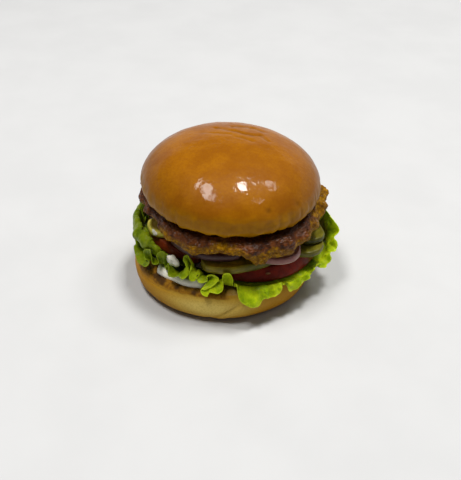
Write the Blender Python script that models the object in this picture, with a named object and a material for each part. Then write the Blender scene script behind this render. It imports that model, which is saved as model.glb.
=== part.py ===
"""A burger in a round glazed bun: heel, sauce, four lettuce leaves, three tomato slices, five pickle
slices, three onion slices, a craggy fried patty and a domed crown. One rigid stack with no joints.
Shapes are worked out in millimetres and written in metres. The frame's origin is the centre of the
heel's flat foot, +Z is up and -Y is the front. Azimuths run from the front (-Y) towards +X."""

import math

import bpy
import numpy as np

MM = 0.001

# ---------------------------------------------------------------- driving dimensions (mm)
FOOT_R, HEEL_R, HEEL_H = 44.6, 54.5, 20.3        # heel: foot on the table, widest, cut face
HEEL_DROP = 2.6                                  # how far the cut face sags at the left rim
CROWN_C = (4.1, 0.0, 64.3)                       # centre of the crown's widest ring
CROWN_R, CROWN_RISE, CROWN_DEPTH = 52.5, 25.8, 6.3
CROWN_TILT_X, CROWN_TILT_Y = 1.3, 2.4            # degrees: the crown leans down to the right
PATTY_C, PATTY_R = (6.0, 1.0), 55.2
SAUCE_TOP = 21.35
LEAF_T = 0.8                                     # lettuce thickness
DAB = dict(az=-40.2, r=45.1, z=30.9, size=(4.7, 1.3, 4.0))   # blob of sauce between the left leaves
GAP = 0.35                                       # clearance between neighbouring pieces

# fineness of the faceted solids: around, and from pole to pole
N_CROWN, N_HEEL, N_PATTY, N_SAUCE, N_SLICE, N_DAB = 54, 56, 80, 48, 22, 12
CROWN_STEPS = (0.06, 0.13, 0.20, 0.27, 0.34, 0.41, 0.48, 0.55, 0.62, 0.67, 0.72, 0.77, 0.82, 0.91)
PATTY_STEPS = (0.12, 0.26, 0.36, 0.42, 0.48, 0.54, 0.60, 0.66, 0.72, 0.80, 0.90)
SAUCE_STEPS = (0.26, 0.37, 0.42, 0.5, 0.56, 0.7)
SLICE_STEPS = (0.2, 0.4, 0.46, 0.54, 0.6, 0.8)
DAB_STEPS = (0.18, 0.36, 0.5, 0.64, 0.82)

# base colours
CRUST, HEEL_CRUST, FRIED = (0.42, 0.16, 0.02), (0.50, 0.28, 0.08), (0.10, 0.04, 0.015)
SAUCE_WHITE, LEAF_GREEN = (0.80, 0.77, 0.66), (0.20, 0.27, 0.02)
SLICE_TINTS = {"tomato": (0.26, 0.02, 0.01), "pickle": (0.14, 0.11, 0.015), "onion": (0.40, 0.22, 0.24)}

# outlines of the slices: centre, (circle or line) limits, mid height at the centre, slopes, thickness,
# and how much further the lower edge reaches than the upper one
SLICES = {
    "tomato_right": dict(c=(19, -4), circles=[(17, -5, 38)], lines=[(-1, 0, 11)], z=26.4, sx=-0.01,
                         sy=0.0, t=7.2, flare=2.0, wob=0.6, seed=3),
    "tomato_left": dict(c=(-28, 2), circles=[(-8.6, 2.0, 37)], lines=[(1, 0, -12.4)], z=32.0, sx=-0.09,
                        sy=0.0, t=6.2, flare=0.5, wob=0.6, seed=5),
    "tomato_back": dict(c=(18, 26), circles=[(12, 10.5, 37)], lines=[(-1, 0, 11), (0, -1, -9)], z=33.5,
                        sx=0.0, sy=0.0, t=4.2, flare=0.5, wob=0.6, seed=4),
    "pickle_front": dict(c=(8.5, -36.4), ellipse=(22, 9.8, 15), z=33.1, sx=-0.02, sy=0.0, t=4.6,
                         flare=0.4, wob=0.5, seed=8),
    "pickle_right": dict(c=(42.5, -17), ellipse=(16.5, 12.5, -35), z=32.4, sx=-0.01, sy=0.0, t=4.0,
                         flare=0.0, wob=0.5, seed=11),
    "pickle_right_top": dict(c=(49.5, -13), ellipse=(9.2, 11.8, 10), z=36.8, sx=0.0, sy=0.0, t=3.8,
                             flare=0.0, wob=0.3, seed=17),
    "pickle_left": dict(c=(-36.4, -11.5), ellipse=(8.2, 9.0, 20), z=38.6, sx=-0.10, sy=0.0, t=4.0,
                        flare=0.0, wob=0.3, seed=12),
    "pickle_back": dict(c=(28, 29), ellipse=(17, 10.5, -25), z=37.5, sx=0.0, sy=0.0, t=3.6, flare=0.2,
                        wob=0.5, seed=9),
    "onion_right": dict(c=(29, -29.6), ellipse=(15.2, 14.9, 0), z=37.3, sx=-0.02, sy=0.0, t=4.2,
                        flare=0.3, wob=0.2, seed=13),
    "onion_left": dict(c=(-9, -17), circles=[(-2.0, -9.7, 33.2)],
                       lines=[(1, 0, 12.0), (-0.82, 0.57, 14.0), (0, 1, 8.0)],
                       z=38.5, sx=-0.03, sy=0.0, t=4.5, flare=0.3, wob=0.2, seed=14),
    "onion_back": dict(c=(-8, 27), ellipse=(16.5, 16, 0), z=38.4, sx=-0.02, sy=0.0, t=4.4, flare=0.2,
                       wob=0.2, seed=15),
}

# free edges of the lettuce leaves as (azimuth in degrees, radius, height), from left to right.
# "mid" holds (azimuth, radius, height) that the blade heads for before its edge, and then the radius of the
# shoulder where it leaves the stack. root is the hidden inner end: radius, height, height of the shoulder.
LEAVES = {
    "lettuce_left_low": dict(
        root=(34.0, 23.0, 22.9), cols=96, rows=(0.0, 0.4, 0.62, 0.82, 1.0),
        mid=[(-88, 53, 25, 46), (-70, 53, 26, 46), (-58, 51, 26, 46), (-50, 49, 27, 45), (-45, 45, 24, 43),
             (-38, 47, 25, 43), (-33, 47, 25, 43), (-30, 46, 31, 43), (-27, 45.6, 41, 43), (-22, 46, 42, 43),
             (-18, 46, 38, 43), (-14, 47, 33, 44), (-8, 48, 31, 45), (6, 49, 30, 46)],
        edge=[(-88, 53.5, 28), (-83, 54.8, 31), (-78.5, 53.8, 26.5), (-74, 55.6, 27), (-69, 55.8, 23.2),
              (-65, 56, 22.4), (-59.5, 55.6, 23.2), (-55, 55, 24.4), (-54.4, 53.2, 27.4), (-59, 53, 27.6),
              (-62, 53.2, 30.6), (-59.6, 52, 33.4), (-55.6, 51.4, 34.4), (-53, 51.8, 31), (-51, 52.8, 27.8),
              (-48, 52, 28.2), (-47.6, 50.6, 30.2), (-50, 50.4, 31.6), (-49.6, 49.4, 35), (-46.8, 48.2, 36.6),
              (-44.8, 47.6, 35.6), (-46.4, 47.4, 31), (-47.2, 47.6, 27.2), (-45.6, 47.4, 25),
              (-42.6, 48.8, 25.6), (-42.2, 49.2, 28.8), (-39.8, 48.6, 31.4), (-38.6, 50.2, 28.8),
              (-36.6, 52.6, 26), (-32.4, 53.2, 27), (-29, 52.8, 29), (-26, 53.6, 28), (-23.4, 52.8, 29.4),
              (-22.6, 50.6, 31.6), (-25.6, 49.4, 35), (-28.4, 47.6, 38), (-26.6, 46.8, 40.4),
              (-23.6, 47.6, 38.6),
              (-21.4, 49.2, 34.6), (-22.2, 51.4, 30.6), (-20.6, 52.8, 27.8), (-18, 52.4, 28.2),
              (-17.2, 50.4, 31.2), (-15.6, 50.2, 31.0),
              (-17, 51.6, 28.4), (-13.4, 52, 27.2), (-10.6, 51, 28), (-11, 50, 30.4), (-6.5, 49.8, 31.8),
              (-3.2, 50.4, 30), (-5, 52, 27.4), (-10.5, 54, 24.8), (-13.6, 54.4, 24), (-13, 55.2, 22),
              (-9.9, 55.8, 21), (-8.4, 54.6, 23.4), (-4, 54.6, 22.8), (-0.6, 53.6, 24.6), (-0.8, 51.4, 29),
              (-0.2, 50.4, 33.2), (3.6, 50.4, 33.8), (5.6, 51.2, 30.4), (5.4, 53, 27)],
    ),
    "lettuce_left_up": dict(
        root=(35.0, 25.4, 25.6), cols=46, rows=(0.0, 0.4, 0.62, 0.82, 1.0),
        mid=[(-126, 59, 27, 45), (-105, 63, 29, 46), (-88, 66, 32, 46), (-72, 65, 32, 46), (-62, 60, 31, 45),
             (-54, 54, 31, 43.5), (-48, 47, 31, 42), (-40, 43, 29, 41), (-31, 43, 28, 41)],
        edge=[(-126, 52, 31), (-120, 54.5, 35), (-114, 51.5, 37), (-108, 52.5, 40), (-102, 49.5, 41.6),
              (-97, 50.5, 44), (-92, 47.6, 44.6), (-88, 46.6, 46), (-84, 45.4, 45.2), (-80, 45.6, 46.4),
              (-76, 44.8, 45.4), (-72, 46.8, 46), (-69, 46.2, 44), (-66, 47.6, 43), (-63, 46, 41.4),
              (-60, 46.8, 41.4), (-57, 45, 39.4), (-54, 45.8, 39.4), (-51, 44, 37.8), (-48, 44, 37.8),
              (-45, 42.6, 36.6), (-42, 43.6, 36.2), (-38.5, 43, 34.4), (-35, 43.8, 33.6), (-32, 43.4, 32)],
    ),
    "lettuce_right": dict(
        root=(34.0, 21.1, 21.1), cols=74, rows=(0.0, 0.4, 0.64, 0.84, 1.0),
        mid=[(7, 54, 30, 46), (14, 56, 31, 49), (30, 57, 31, 51), (45, 59, 29, 54), (55, 60, 26, 56),
             (64, 61, 23, 57), (75, 62, 22, 57), (88, 62, 23, 57), (104, 61, 26, 56)],
        edge=[(7.8, 54, 29), (8.0, 57, 23), (9.5, 58, 19), (12, 58.8, 17), (15.5, 59.5, 15.5),
              (19, 59.5, 14.8), (21.6, 58.2, 18), (24, 60, 19.6), (26.5, 58.6, 18), (29, 60, 19.2),
              (31.5, 59, 19.4), (34, 58.6, 22), (36, 56.8, 25.4), (37.4, 58.8, 22), (38.6, 60, 18.4),
              (41.2, 59.6, 17), (44.5, 60.2, 17.4), (47, 61.4, 20), (50, 60, 19), (52.4, 62, 21),
              (55, 61, 20.4), (57.5, 62.4, 24), (60, 61, 23.4), (62.6, 63.6, 25), (64.6, 62.6, 20.6),
              (67, 65, 19), (69.4, 65.4, 19.6), (71.4, 67.4, 22), (73.4, 66, 26), (75.8, 68.4, 24.8),
              (78, 69.4, 29), (79.6, 66.4, 32), (81.6, 68, 33.5), (83.8, 69.2, 35.5), (86, 66.4, 38.5),
              (89.4, 62.8, 39.5), (92.6, 64.8, 37), (96, 61.8, 40), (100, 64, 38), (104, 61, 34)],
    ),
    "lettuce_back": dict(
        root=(34.0, 21.1, 21.1), cols=58, rows=(0.0, 0.28, 0.52, 0.78, 1.0),
        mid=[(108, 60, 28, 57), (130, 57, 32, 51), (145, 56, 33, 50), (160, 56, 34, 48),
             (190, 56, 34, 48), (215, 56, 32, 48),
             (229, 57, 29, 47)],
        edge=[(108, 61.6, 31), (113, 63.6, 26.5), (118, 60.8, 29.5), (124, 61.8, 22), (130, 58.8, 25.5),
              (136, 60.6, 19), (142.5, 58.4, 24.5), (148, 58.2, 28.6), (153.5, 60.4, 21), (160, 60, 17.6),
              (166, 57.4, 23.5), (171.5, 57.6, 29.4), (177, 60.2, 22.4), (183.5, 60.2, 18.2),
              (190, 57.8, 24.4), (195.5, 58.8, 19.8), (201.5, 58.6, 18.4), (207.5, 56.8, 27), (213, 58.4, 29),
              (219, 59.2, 23), (224.5, 57, 25.5), (229, 57, 28)],
    ),
}

# patty: height of the lower rim by azimuth about its own centre, and how far the rim stands out
PATTY_LOW = [(-180, 46.5), (-150, 44.5), (-120, 46.5), (-95, 49.5), (-66, 50.0), (-58, 48.4), (-53, 46.0),
             (-49, 46.8), (-45, 48.4), (-42, 47.4), (-38, 46.4), (-33, 46.0), (-29, 45.0), (-26, 44.5),
             (-21, 45.6), (-18, 46.0), (-12, 47.2), (-8, 49.0), (-2, 48.0), (4, 47.4),
             (7.5, 44.2), (13, 40.9), (17, 41.2), (22, 42.6), (29, 42.3), (35, 40.6), (41, 42.6),
             (53, 41.8), (57, 44.6), (70, 44.5), (90, 45.5), (115, 43.0), (140, 45.5), (165, 43.5),
             (180, 46.5)]
PATTY_OUT = [(-180, 0.0), (-150, 1.5), (-120, -0.5), (-95, 0.8), (-75, -1.5), (-62, -3.6), (-52, -1.4),
             (-40, 0.4), (-28, 0.8), (-16, -0.2), (-7, -1.6), (0, -0.4), (6, 0.2), (12, 1.4), (20, 0.6),
             (27, -0.4), (35, 1.0), (42, -1.0), (50, -0.6), (60, -1.4), (74, -3.4), (88, -0.4), (100, 1.0),
             (120, 0.0), (140, 1.2), (160, -0.8), (180, 0.0)]


# ---------------------------------------------------------------- small helpers
def smooth(x):
    x = np.clip(x, 0.0, 1.0)
    return x * x * (3 - 2 * x)


def bell(x, centre, width):
    return np.exp(-(((x - centre) / width) ** 2))


def wrap(az):
    """Azimuth in degrees, from -180 to 180."""
    return (np.asarray(az, float) + 180.0) % 360.0 - 180.0


def table(az, rows):
    """Smooth interpolation of (azimuth, value) rows."""
    xs = np.array([r[0] for r in rows], float)
    ys = np.array([r[1] for r in rows], float)
    az = np.asarray(az, float)
    i = np.clip(np.searchsorted(xs, az, side="right") - 1, 0, len(xs) - 2)
    f = smooth((az - xs[i]) / (xs[i + 1] - xs[i]))
    return ys[i] * (1 - f) + ys[i + 1] * f


def waves(p, size, seed, count=14):
    """Smooth random relief, about -1 to 1, whose bumps are roughly size mm across."""
    rng = np.random.default_rng(seed)
    d = rng.normal(size=(count, 3))
    d /= np.linalg.norm(d, axis=1)[:, None]
    k = 2 * math.pi / (size * rng.uniform(1.3, 2.6, count))
    return np.sin(p @ (d * k[:, None]).T + rng.uniform(0, 2 * math.pi, count)).sum(-1) / math.sqrt(count)


def spline(points, u):
    """Catmull-Rom curve through the points, u from 0 to 1."""
    p = np.array(points, float)
    p = np.vstack([2 * p[0] - p[1], p, 2 * p[-1] - p[-2]])
    n = len(p) - 3
    s = np.clip(np.asarray(u, float), 0, 1) * n
    i = np.minimum(s.astype(int), n - 1)
    f = (s - i)[:, None]
    a, b, c, d = p[i], p[i + 1], p[i + 2], p[i + 3]
    return 0.5 * (2 * b + (c - a) * f + (2 * a - 5 * b + 4 * c - d) * f**2 + (3 * b - a - 3 * c + d) * f**3)


def polar(az, r, z):
    a = np.radians(az)
    return np.stack([r * np.sin(a), -r * np.cos(a), z + 0 * a], -1)


# ---------------------------------------------------------------- shapes, all as functions
def heel_top(az, r):
    sag = HEEL_DROP * bell(wrap(az), -66, 30) + 0.5 * bell(wrap(az), 130, 40)
    return HEEL_H - sag * smooth((r - 45.0) / 8.0)


HEEL_RINGS = [(0.40, 0.0), (0.70, 0.0), (FOOT_R / HEEL_R, 0.0), (0.905, 1.1), (0.962, 3.4), (0.992, 6.6),
              (1.0, 10.0), (0.996, 13.4), (0.984, 16.4), (0.968, 18.8), (0.945, 20.0), (0.90, 20.3),
              (0.70, 20.3), (0.35, 20.3)]


def heel_ring(az, k, h):
    """One ring of the heel: k is its share of the radius and h its height before the sag."""
    r = k * HEEL_R * np.ones_like(az)
    lift = smooth((h - 3.0) / 10.0)
    z = h + (heel_top(az, np.maximum(r, 0)) - HEEL_H) * smooth((h - 10.0) / 8.0)
    p = polar(az, r, z)
    r = r * (1 + 0.006 * lift * waves(p * [1, 1, 0.4], 30, 21)) + 0.25 * waves(p, 16, 22) * smooth(h / 4)
    # a fold in the crust at the front: a shallow valley that climbs to the right, over a soft swell
    line = 5.5 + 0.62 * (wrap(az) + 4.0)
    near = bell(wrap(az), 3.0, 10.0) * smooth(h / 3) * smooth((19 - h) / 4)
    r = r - 1.0 * near * bell(h, line, 1.5) + 0.6 * near * bell(h, line - 3.5, 2.6)
    return polar(az, r, z)


def turn(p):
    """Leans the crown about its own centre."""
    cx, sx = math.cos(math.radians(CROWN_TILT_X)), math.sin(math.radians(CROWN_TILT_X))
    cy, sy = math.cos(math.radians(CROWN_TILT_Y)), math.sin(math.radians(CROWN_TILT_Y))
    m = np.array([[cy, 0, sy], [0, 1, 0], [-sy, 0, cy]]) @ np.array([[1, 0, 0], [0, cx, -sx], [0, sx, cx]])
    return p @ m.T + np.array(CROWN_C)


def crown_under(x, y):
    """Height of the crown's flat underside above the point x, y."""
    q = turn(np.array([[0, 0, -CROWN_DEPTH], [1, 0, -CROWN_DEPTH], [0, 1, -CROWN_DEPTH]]))
    n = np.cross(q[1] - q[0], q[2] - q[0])
    return q[0, 2] - ((x - q[0, 0]) * n[0] + (y - q[0, 1]) * n[1]) / n[2]


def lobes(az):
    """The uneven, scalloped lower edge of the crown, about -1 to 1."""
    a = np.radians(az)
    return (0.55 * np.sin(23 * a + 1.1 * np.sin(3 * a)) + 0.5 * np.sin(14 * a + 1.0 + 0.8 * np.sin(5 * a))
            + 0.3 * np.sin(37 * a + 2.0))


def crown_ring(az, s):
    """One ring of the crown, s from 0 at the top to 1 at the middle of the underside."""
    inner = CROWN_R - 5.0
    if s <= 0.62:
        f = s / 0.62 * math.pi / 2
        r, z = CROWN_R * math.sin(f), CROWN_RISE * math.cos(f)
    elif s <= 0.82:
        f = (s - 0.62) / 0.2 * math.pi / 2
        r, z = inner + 5.0 * math.cos(f), -CROWN_DEPTH * math.sin(f)
    else:
        r, z = inner * (1 - (s - 0.82) / 0.18), -CROWN_DEPTH
    edge = bell(s, 0.77, 0.06)
    rr = r + (0.55 * lobes(az + 3) * edge + 0.5 * waves(polar(az, 50.0, 0.0), 70, 31) * min(s, 0.3))
    zz = z + 0.75 * lobes(az) * edge * (s < 0.83)
    return turn(polar(az, rr, zz))


def patty_under(x):
    return 40.9 - 0.04 * x


def patty_ring(az, s):
    """One ring of the patty about its own centre, s from 0 (top) to 1 (bottom)."""
    low, out = table(wrap(az), PATTY_LOW) - 0.8, table(wrap(az), PATTY_OUT)
    radius = PATTY_R + out
    a = np.radians(az)
    cx, cy = PATTY_C
    bend = 6.0
    if s < 0.36:
        r, f = (radius - bend) * s / 0.36, 0.0
    elif s <= 0.72:
        f = (s - 0.36) / 0.36
        r = radius - bend + bend * np.sin(math.pi * f) ** 0.85
    else:
        r, f = (radius - bend) * (1 - (s - 0.72) / 0.28), 1.0
    x, y = cx + r * np.sin(a), cy - r * np.cos(a)
    top = crown_under(x, y) - GAP - 0.5
    top = top - 1.2 * smooth((r - 46.0) / 6.0)
    hold = smooth((r - 34.0) / 14.0)
    under = patty_under(x) * (1 - hold) + low * hold
    z = top * (1 - (0.5 - 0.5 * math.cos(math.pi * f))) + under * (0.5 - 0.5 * math.cos(math.pi * f))
    p = np.stack([x, y, z], -1)
    # crags stand out on the rim and fade where the patty is pressed between its neighbours
    rim = math.sin(math.pi * f) ** 0.7 if 0 < f < 1 else 0.0
    crag = 1.1 * waves(p, 7.5, 41) + 0.6 * waves(p, 4.0, 42)
    x, y = x + rim * crag * np.sin(a), y - rim * crag * np.cos(a)
    z = z + rim * 0.7 * waves(p, 6.0, 43)
    if f == 0.0:
        z = z - 0.35 * (1 + waves(p, 9.0, 44)).clip(0, 2)
    return np.stack([x, y, z], -1)


def sauce_radius(az):
    az = wrap(az)
    shown = smooth((az + 60.5) / 8) * smooth((-9 - az) / 7)
    return 31.0 + 0.6 * np.sin(np.radians(7 * az)) + 0.5 * np.sin(np.radians(13 * az + 40)) + 18.4 * shown


def sauce_ring(az, s):
    edge = sauce_radius(az)
    if s <= 0.5:
        k = min(1.0, s / 0.42)
        r = edge * (0.985 * k if s < 0.5 else 1.0)
        heap = smooth((wrap(az) + 66) / 8) * smooth((-18 - wrap(az)) / 8) * smooth((r - 30.0) / 9.0)
        thick = (SAUCE_TOP - HEEL_H - GAP + 0.8 * heap) * (1 - 0.5 * smooth((r - 44.0) / 6.0))
        thick = thick * (1.0 if s < 0.5 else 0.5)
    else:
        r, thick = edge * 0.985 * (1 - (s - 0.55) / 0.45), 0.0
    return polar(az, r, heel_top(az, r) + GAP + thick)


def dab_ring(az, f):
    """The blob of sauce squeezed out between the left leaves, f from 0 at its top to 1 at its bottom."""
    a, turn_by = np.radians(az), math.radians(DAB["az"])
    k = math.sin(math.pi * f)
    side, out, up = DAB["size"]
    t, o = side * k * np.sin(a), out * k * np.cos(a)
    t = t * (1 - 0.28 * math.cos(math.pi * f)) * (1 + 0.10 * np.sin(3 * a + 1))
    r = DAB["r"] + o
    x = r * math.sin(turn_by) + t * math.cos(turn_by)
    y = -r * math.cos(turn_by) + t * math.sin(turn_by)
    return np.stack([x, y, DAB["z"] + up * math.cos(math.pi * f) + 0.10 * t], -1)


def slice_radius(az, d):
    """Outline of a slice about its centre: an ellipse, or the soft meeting of circles and straight cuts."""
    a = np.radians(az)
    ux, uy = np.sin(a), -np.cos(a)
    if "ellipse" in d:
        p, q, turned = d["ellipse"]
        t = math.radians(turned)
        x, y = ux * math.cos(t) + uy * math.sin(t), -ux * math.sin(t) + uy * math.cos(t)
        r = ((np.abs(x) / p) ** 2.4 + (np.abs(y) / q) ** 2.4) ** (-1 / 2.4)
    else:
        cx, cy = d["c"]
        limits = []
        for ox, oy, rad in d["circles"]:
            b = (cx - ox) * ux + (cy - oy) * uy
            c = (cx - ox) ** 2 + (cy - oy) ** 2 - rad**2
            limits.append(-b + np.sqrt(b * b - c))
        for nx, ny, off in d["lines"]:
            along = nx * ux + ny * uy
            room = off - nx * cx - ny * cy
            limits.append(np.where(along > 0.02, room / np.maximum(along, 0.02), 1e3))
        r = sum(limit**-9.0 for limit in limits) ** (-1 / 9.0)
    return r + d["wob"] * (0.6 * np.sin(3 * a + d["seed"]) + 0.4 * np.sin(5 * a + 2 * d["seed"]))


def slice_ring(az, s, d):
    """One ring of a slice, s from 0 (middle of the top) to 1 (middle of the bottom), with a rounded rim."""
    edge, half = slice_radius(az, d), d["t"] / 2
    bend = min(1.6, half)
    f = min(max((s - 0.4) / 0.2, 0.0), 1.0)
    edge = edge - d["flare"] * math.cos(math.pi * f)
    if s <= 0.4:
        r = (edge - bend) * s / 0.4
    elif s < 0.6:
        r = edge - bend + bend * math.sin(math.pi * f) ** 0.6
    else:
        r = (edge - bend) * (1 - s) / 0.4
    up = half * math.cos(math.pi * f)
    a = np.radians(az)
    x, y = r * np.sin(a), -r * np.cos(a)
    return np.stack([d["c"][0] + x, d["c"][1] + y, d["z"] + d["sx"] * x + d["sy"] * y + up], -1)


def press(p):
    """Keeps a leaf's middle surface under the tomato slices, and clear of their rims."""
    p = p.copy()
    for name in ("tomato_right", "tomato_left"):
        d = SLICES[name]
        x, y = p[..., 0] - d["c"][0], p[..., 1] - d["c"][1]
        beyond = np.hypot(x, y) - slice_radius(np.degrees(np.arctan2(x, -y)), d) - d["flare"]
        limit = d["z"] + d["sx"] * x + d["sy"] * y - d["t"] / 2 - GAP - LEAF_T / 2
        limit = limit - 0.3 + 0.8 * np.maximum(beyond - 2.8, 0) + 50 * np.maximum(beyond - 5, 0)
        p[..., 2] = np.minimum(p[..., 2], limit)
    return p


def leaf_sheet(leaf, u, v):
    """Middle surface of a leaf: u along the free edge, v from the hidden root (0) to the edge (1)."""
    edge = spline(leaf["edge"], u)
    ends = leaf["edge"][0][0], leaf["edge"][-1][0]
    # the blade's azimuth runs evenly, while the edge wanders about it in folds
    even = ends[0] + (ends[1] - ends[0]) * u
    window = np.hanning(25) / np.hanning(25).sum()
    drift = np.convolve(np.pad(edge[:, 0] - even, 12, mode="edge"), window, "valid")
    even = even + drift
    mid_r, mid_z, fold_r = (table(even, [(m[0], m[k]) for m in leaf["mid"]]) for k in (1, 2, 3))
    root = np.stack([even, np.full_like(u, leaf["root"][0]), np.full_like(u, leaf["root"][1])], -1)
    mid = np.stack([even, mid_r, mid_z], -1)
    fold = np.stack([even, fold_r, np.full_like(u, leaf["root"][2])], -1)
    rows = [(1 - w) ** 3 * root + 3 * w * (1 - w) ** 2 * fold + 3 * w * w * (1 - w) * mid + w**3 * edge
            for w in v]
    grid = np.stack(rows, 1)
    return press(polar(grid[..., 0], grid[..., 1], grid[..., 2]))


# ---------------------------------------------------------------- meshes
def add_object(name, verts, faces, colour):
    mesh = bpy.data.meshes.new(name)
    mesh.from_pydata([tuple(v) for v in np.asarray(verts) * MM], [], faces)
    mesh.update()
    obj = bpy.data.objects.new(name, mesh)
    bpy.context.scene.collection.objects.link(obj)
    material = bpy.data.materials.new(name)
    material.use_nodes = True
    shader = material.node_tree.nodes["Principled BSDF"]
    shader.inputs["Base Color"].default_value = (*colour, 1)
    shader.inputs["Roughness"].default_value = 0.45
    mesh.materials.append(material)
    return obj


def ring_solid(name, rings, top, bottom, colour):
    """A closed solid from rings ordered from its top pole to its bottom pole."""
    n = len(rings[0])
    verts = np.vstack([np.asarray(top)[None], *rings, np.asarray(bottom)[None]])
    last = len(verts) - 1
    faces = [(0, 1 + i, 1 + (i + 1) % n) for i in range(n)]
    for j in range(len(rings) - 1):
        a, b = 1 + j * n, 1 + (j + 1) * n
        for i in range(n):
            k = (i + 1) % n
            faces += [(a + i, b + i, b + k), (a + i, b + k, a + k)]
    a = 1 + (len(rings) - 1) * n
    faces += [(a + i, last, a + (i + 1) % n) for i in range(n)]
    return add_object(name, verts, faces, colour)


def leaf_solid(name, grid, thick, colour):
    """A thin closed solid about a sheet of points, with both faces split into the same triangles."""
    nu, nv = grid.shape[:2]
    du, dv = np.gradient(grid, axis=0), np.gradient(grid, axis=1)
    normal = np.cross(dv, du)
    normal /= np.linalg.norm(normal, axis=-1)[..., None]
    half = 0.5 * thick * (1 - 0.35 * np.linspace(0, 1, nv))[None, :, None]
    verts = np.vstack([(grid + normal * half).reshape(-1, 3), (grid - normal * half).reshape(-1, 3)])
    under = nu * nv

    def at(i, j):
        return i * nv + j

    faces = []
    for i in range(nu - 1):
        for j in range(nv - 1):
            a, b, c, d = at(i, j), at(i + 1, j), at(i + 1, j + 1), at(i, j + 1)
            for t in ((a, c, b), (a, d, c)):
                faces += [t, tuple(under + k for k in t[::-1])]
    rim = [at(i, 0) for i in range(nu)] + [at(nu - 1, j) for j in range(1, nv)]
    rim += [at(i, nv - 1) for i in range(nu - 2, -1, -1)] + [at(0, j) for j in range(nv - 2, 0, -1)]
    for a, b in zip(rim, rim[1:] + rim[:1]):
        faces += [(a, b, under + b), (a, under + b, under + a)]
    return add_object(name, verts, faces, colour)


def around(n):
    return np.arange(n) * 360.0 / n


# ---------------------------------------------------------------- the burger
for old in list(bpy.data.objects):
    bpy.data.objects.remove(old, do_unlink=True)

az = around(N_HEEL)
rings = [heel_ring(az, k, h) for k, h in reversed(HEEL_RINGS)]
ring_solid("bun_heel", rings, (0, 0, HEEL_H), (0, 0, 0), HEEL_CRUST)

az = around(N_SAUCE)
rings = [sauce_ring(az, s) for s in SAUCE_STEPS]
ring_solid("sauce", rings, (0, 0, SAUCE_TOP), (0, 0, HEEL_H + GAP), SAUCE_WHITE)

for name, leaf in LEAVES.items():
    u = np.linspace(0, 1, leaf["cols"] + 1)
    leaf_solid(name, leaf_sheet(leaf, u, leaf["rows"]), LEAF_T, LEAF_GREEN)

az = around(N_SLICE)
for name, d in SLICES.items():
    rings = [slice_ring(az, s, d) for s in SLICE_STEPS]
    x, y = d["c"]
    top, bottom = d["z"] + d["t"] / 2, d["z"] - d["t"] / 2
    ring_solid(name, rings, (x, y, top), (x, y, bottom), SLICE_TINTS[name.split("_")[0]])

az = around(N_DAB)
rings = [dab_ring(az, f) for f in DAB_STEPS]
ring_solid("sauce_dab", rings, dab_ring(az, 0.0).mean(0), dab_ring(az, 1.0).mean(0), SAUCE_WHITE)

az = around(N_PATTY)
rings = [patty_ring(az, s) for s in PATTY_STEPS]
x, y = PATTY_C
ring_solid("patty", rings, (x, y, crown_under(x, y) - GAP - 0.9), (x, y, patty_under(x)), FRIED)

az = around(N_CROWN)
rings = [crown_ring(az, s) for s in CROWN_STEPS]
ring_solid("bun_crown", rings, turn(np.array([0, 0, CROWN_RISE])), turn(np.array([0, 0, -CROWN_DEPTH])), CRUST)
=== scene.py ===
"""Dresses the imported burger: glazed crust, toasted heel, craggy patty, frilled lettuce, cut vegetables and
sauce. Shapes are worked out in millimetres from the same formulas as the CAD solids, made finer, given
relief along their normals and written in metres. Azimuths run from the front (-Y) towards +X."""

import itertools
import math

import bpy
import numpy as np
from mathutils import Matrix, Vector


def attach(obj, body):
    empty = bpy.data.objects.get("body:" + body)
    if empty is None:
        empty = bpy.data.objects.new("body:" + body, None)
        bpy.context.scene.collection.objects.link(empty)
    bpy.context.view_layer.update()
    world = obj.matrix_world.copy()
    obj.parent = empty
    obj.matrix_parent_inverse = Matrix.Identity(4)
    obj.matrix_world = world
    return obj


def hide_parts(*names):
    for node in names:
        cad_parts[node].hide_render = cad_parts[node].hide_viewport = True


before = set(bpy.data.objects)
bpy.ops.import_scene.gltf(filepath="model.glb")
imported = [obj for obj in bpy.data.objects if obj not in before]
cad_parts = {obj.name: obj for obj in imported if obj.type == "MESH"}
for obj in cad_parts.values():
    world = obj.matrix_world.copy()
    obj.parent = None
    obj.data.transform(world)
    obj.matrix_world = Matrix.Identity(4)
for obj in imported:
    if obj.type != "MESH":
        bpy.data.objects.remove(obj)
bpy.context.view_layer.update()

MM = 0.001

# ---------------- driving dimensions of the CAD solids (mm)
FOOT_R, HEEL_R, HEEL_H = 44.6, 54.5, 20.3  # heel: foot on the table, widest, cut face
HEEL_DROP = 2.6  # how far the cut face sags at the left rim
CROWN_C = (4.1, 0.0, 64.3)  # centre of the crown's widest ring
CROWN_R, CROWN_RISE, CROWN_DEPTH = 52.5, 25.8, 6.3
CROWN_TILT_X, CROWN_TILT_Y = 1.3, 2.4  # degrees: the crown leans to the front and down to the right
DOME_END, LIP_END, LIP_R = 0.62, 0.82, 5.0  # crown: steps where its dome and lip end, radius of the lip
PATTY_C, PATTY_R, PATTY_FLOOR = (6.0, 1.0), 55.2, 40.9
PATTY_TOP, PATTY_WALL, PATTY_BEND = 0.36, 0.72, 6.0  # steps where its top and wall end, radius of its rim
LEAF_T = 0.8  # lettuce thickness
DAB = dict(az=-40.2, r=45.1, z=30.9, size=(4.7, 1.3, 4.0))  # blob of sauce between the left leaves
GAP = 0.35  # clearance between neighbouring pieces

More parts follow.
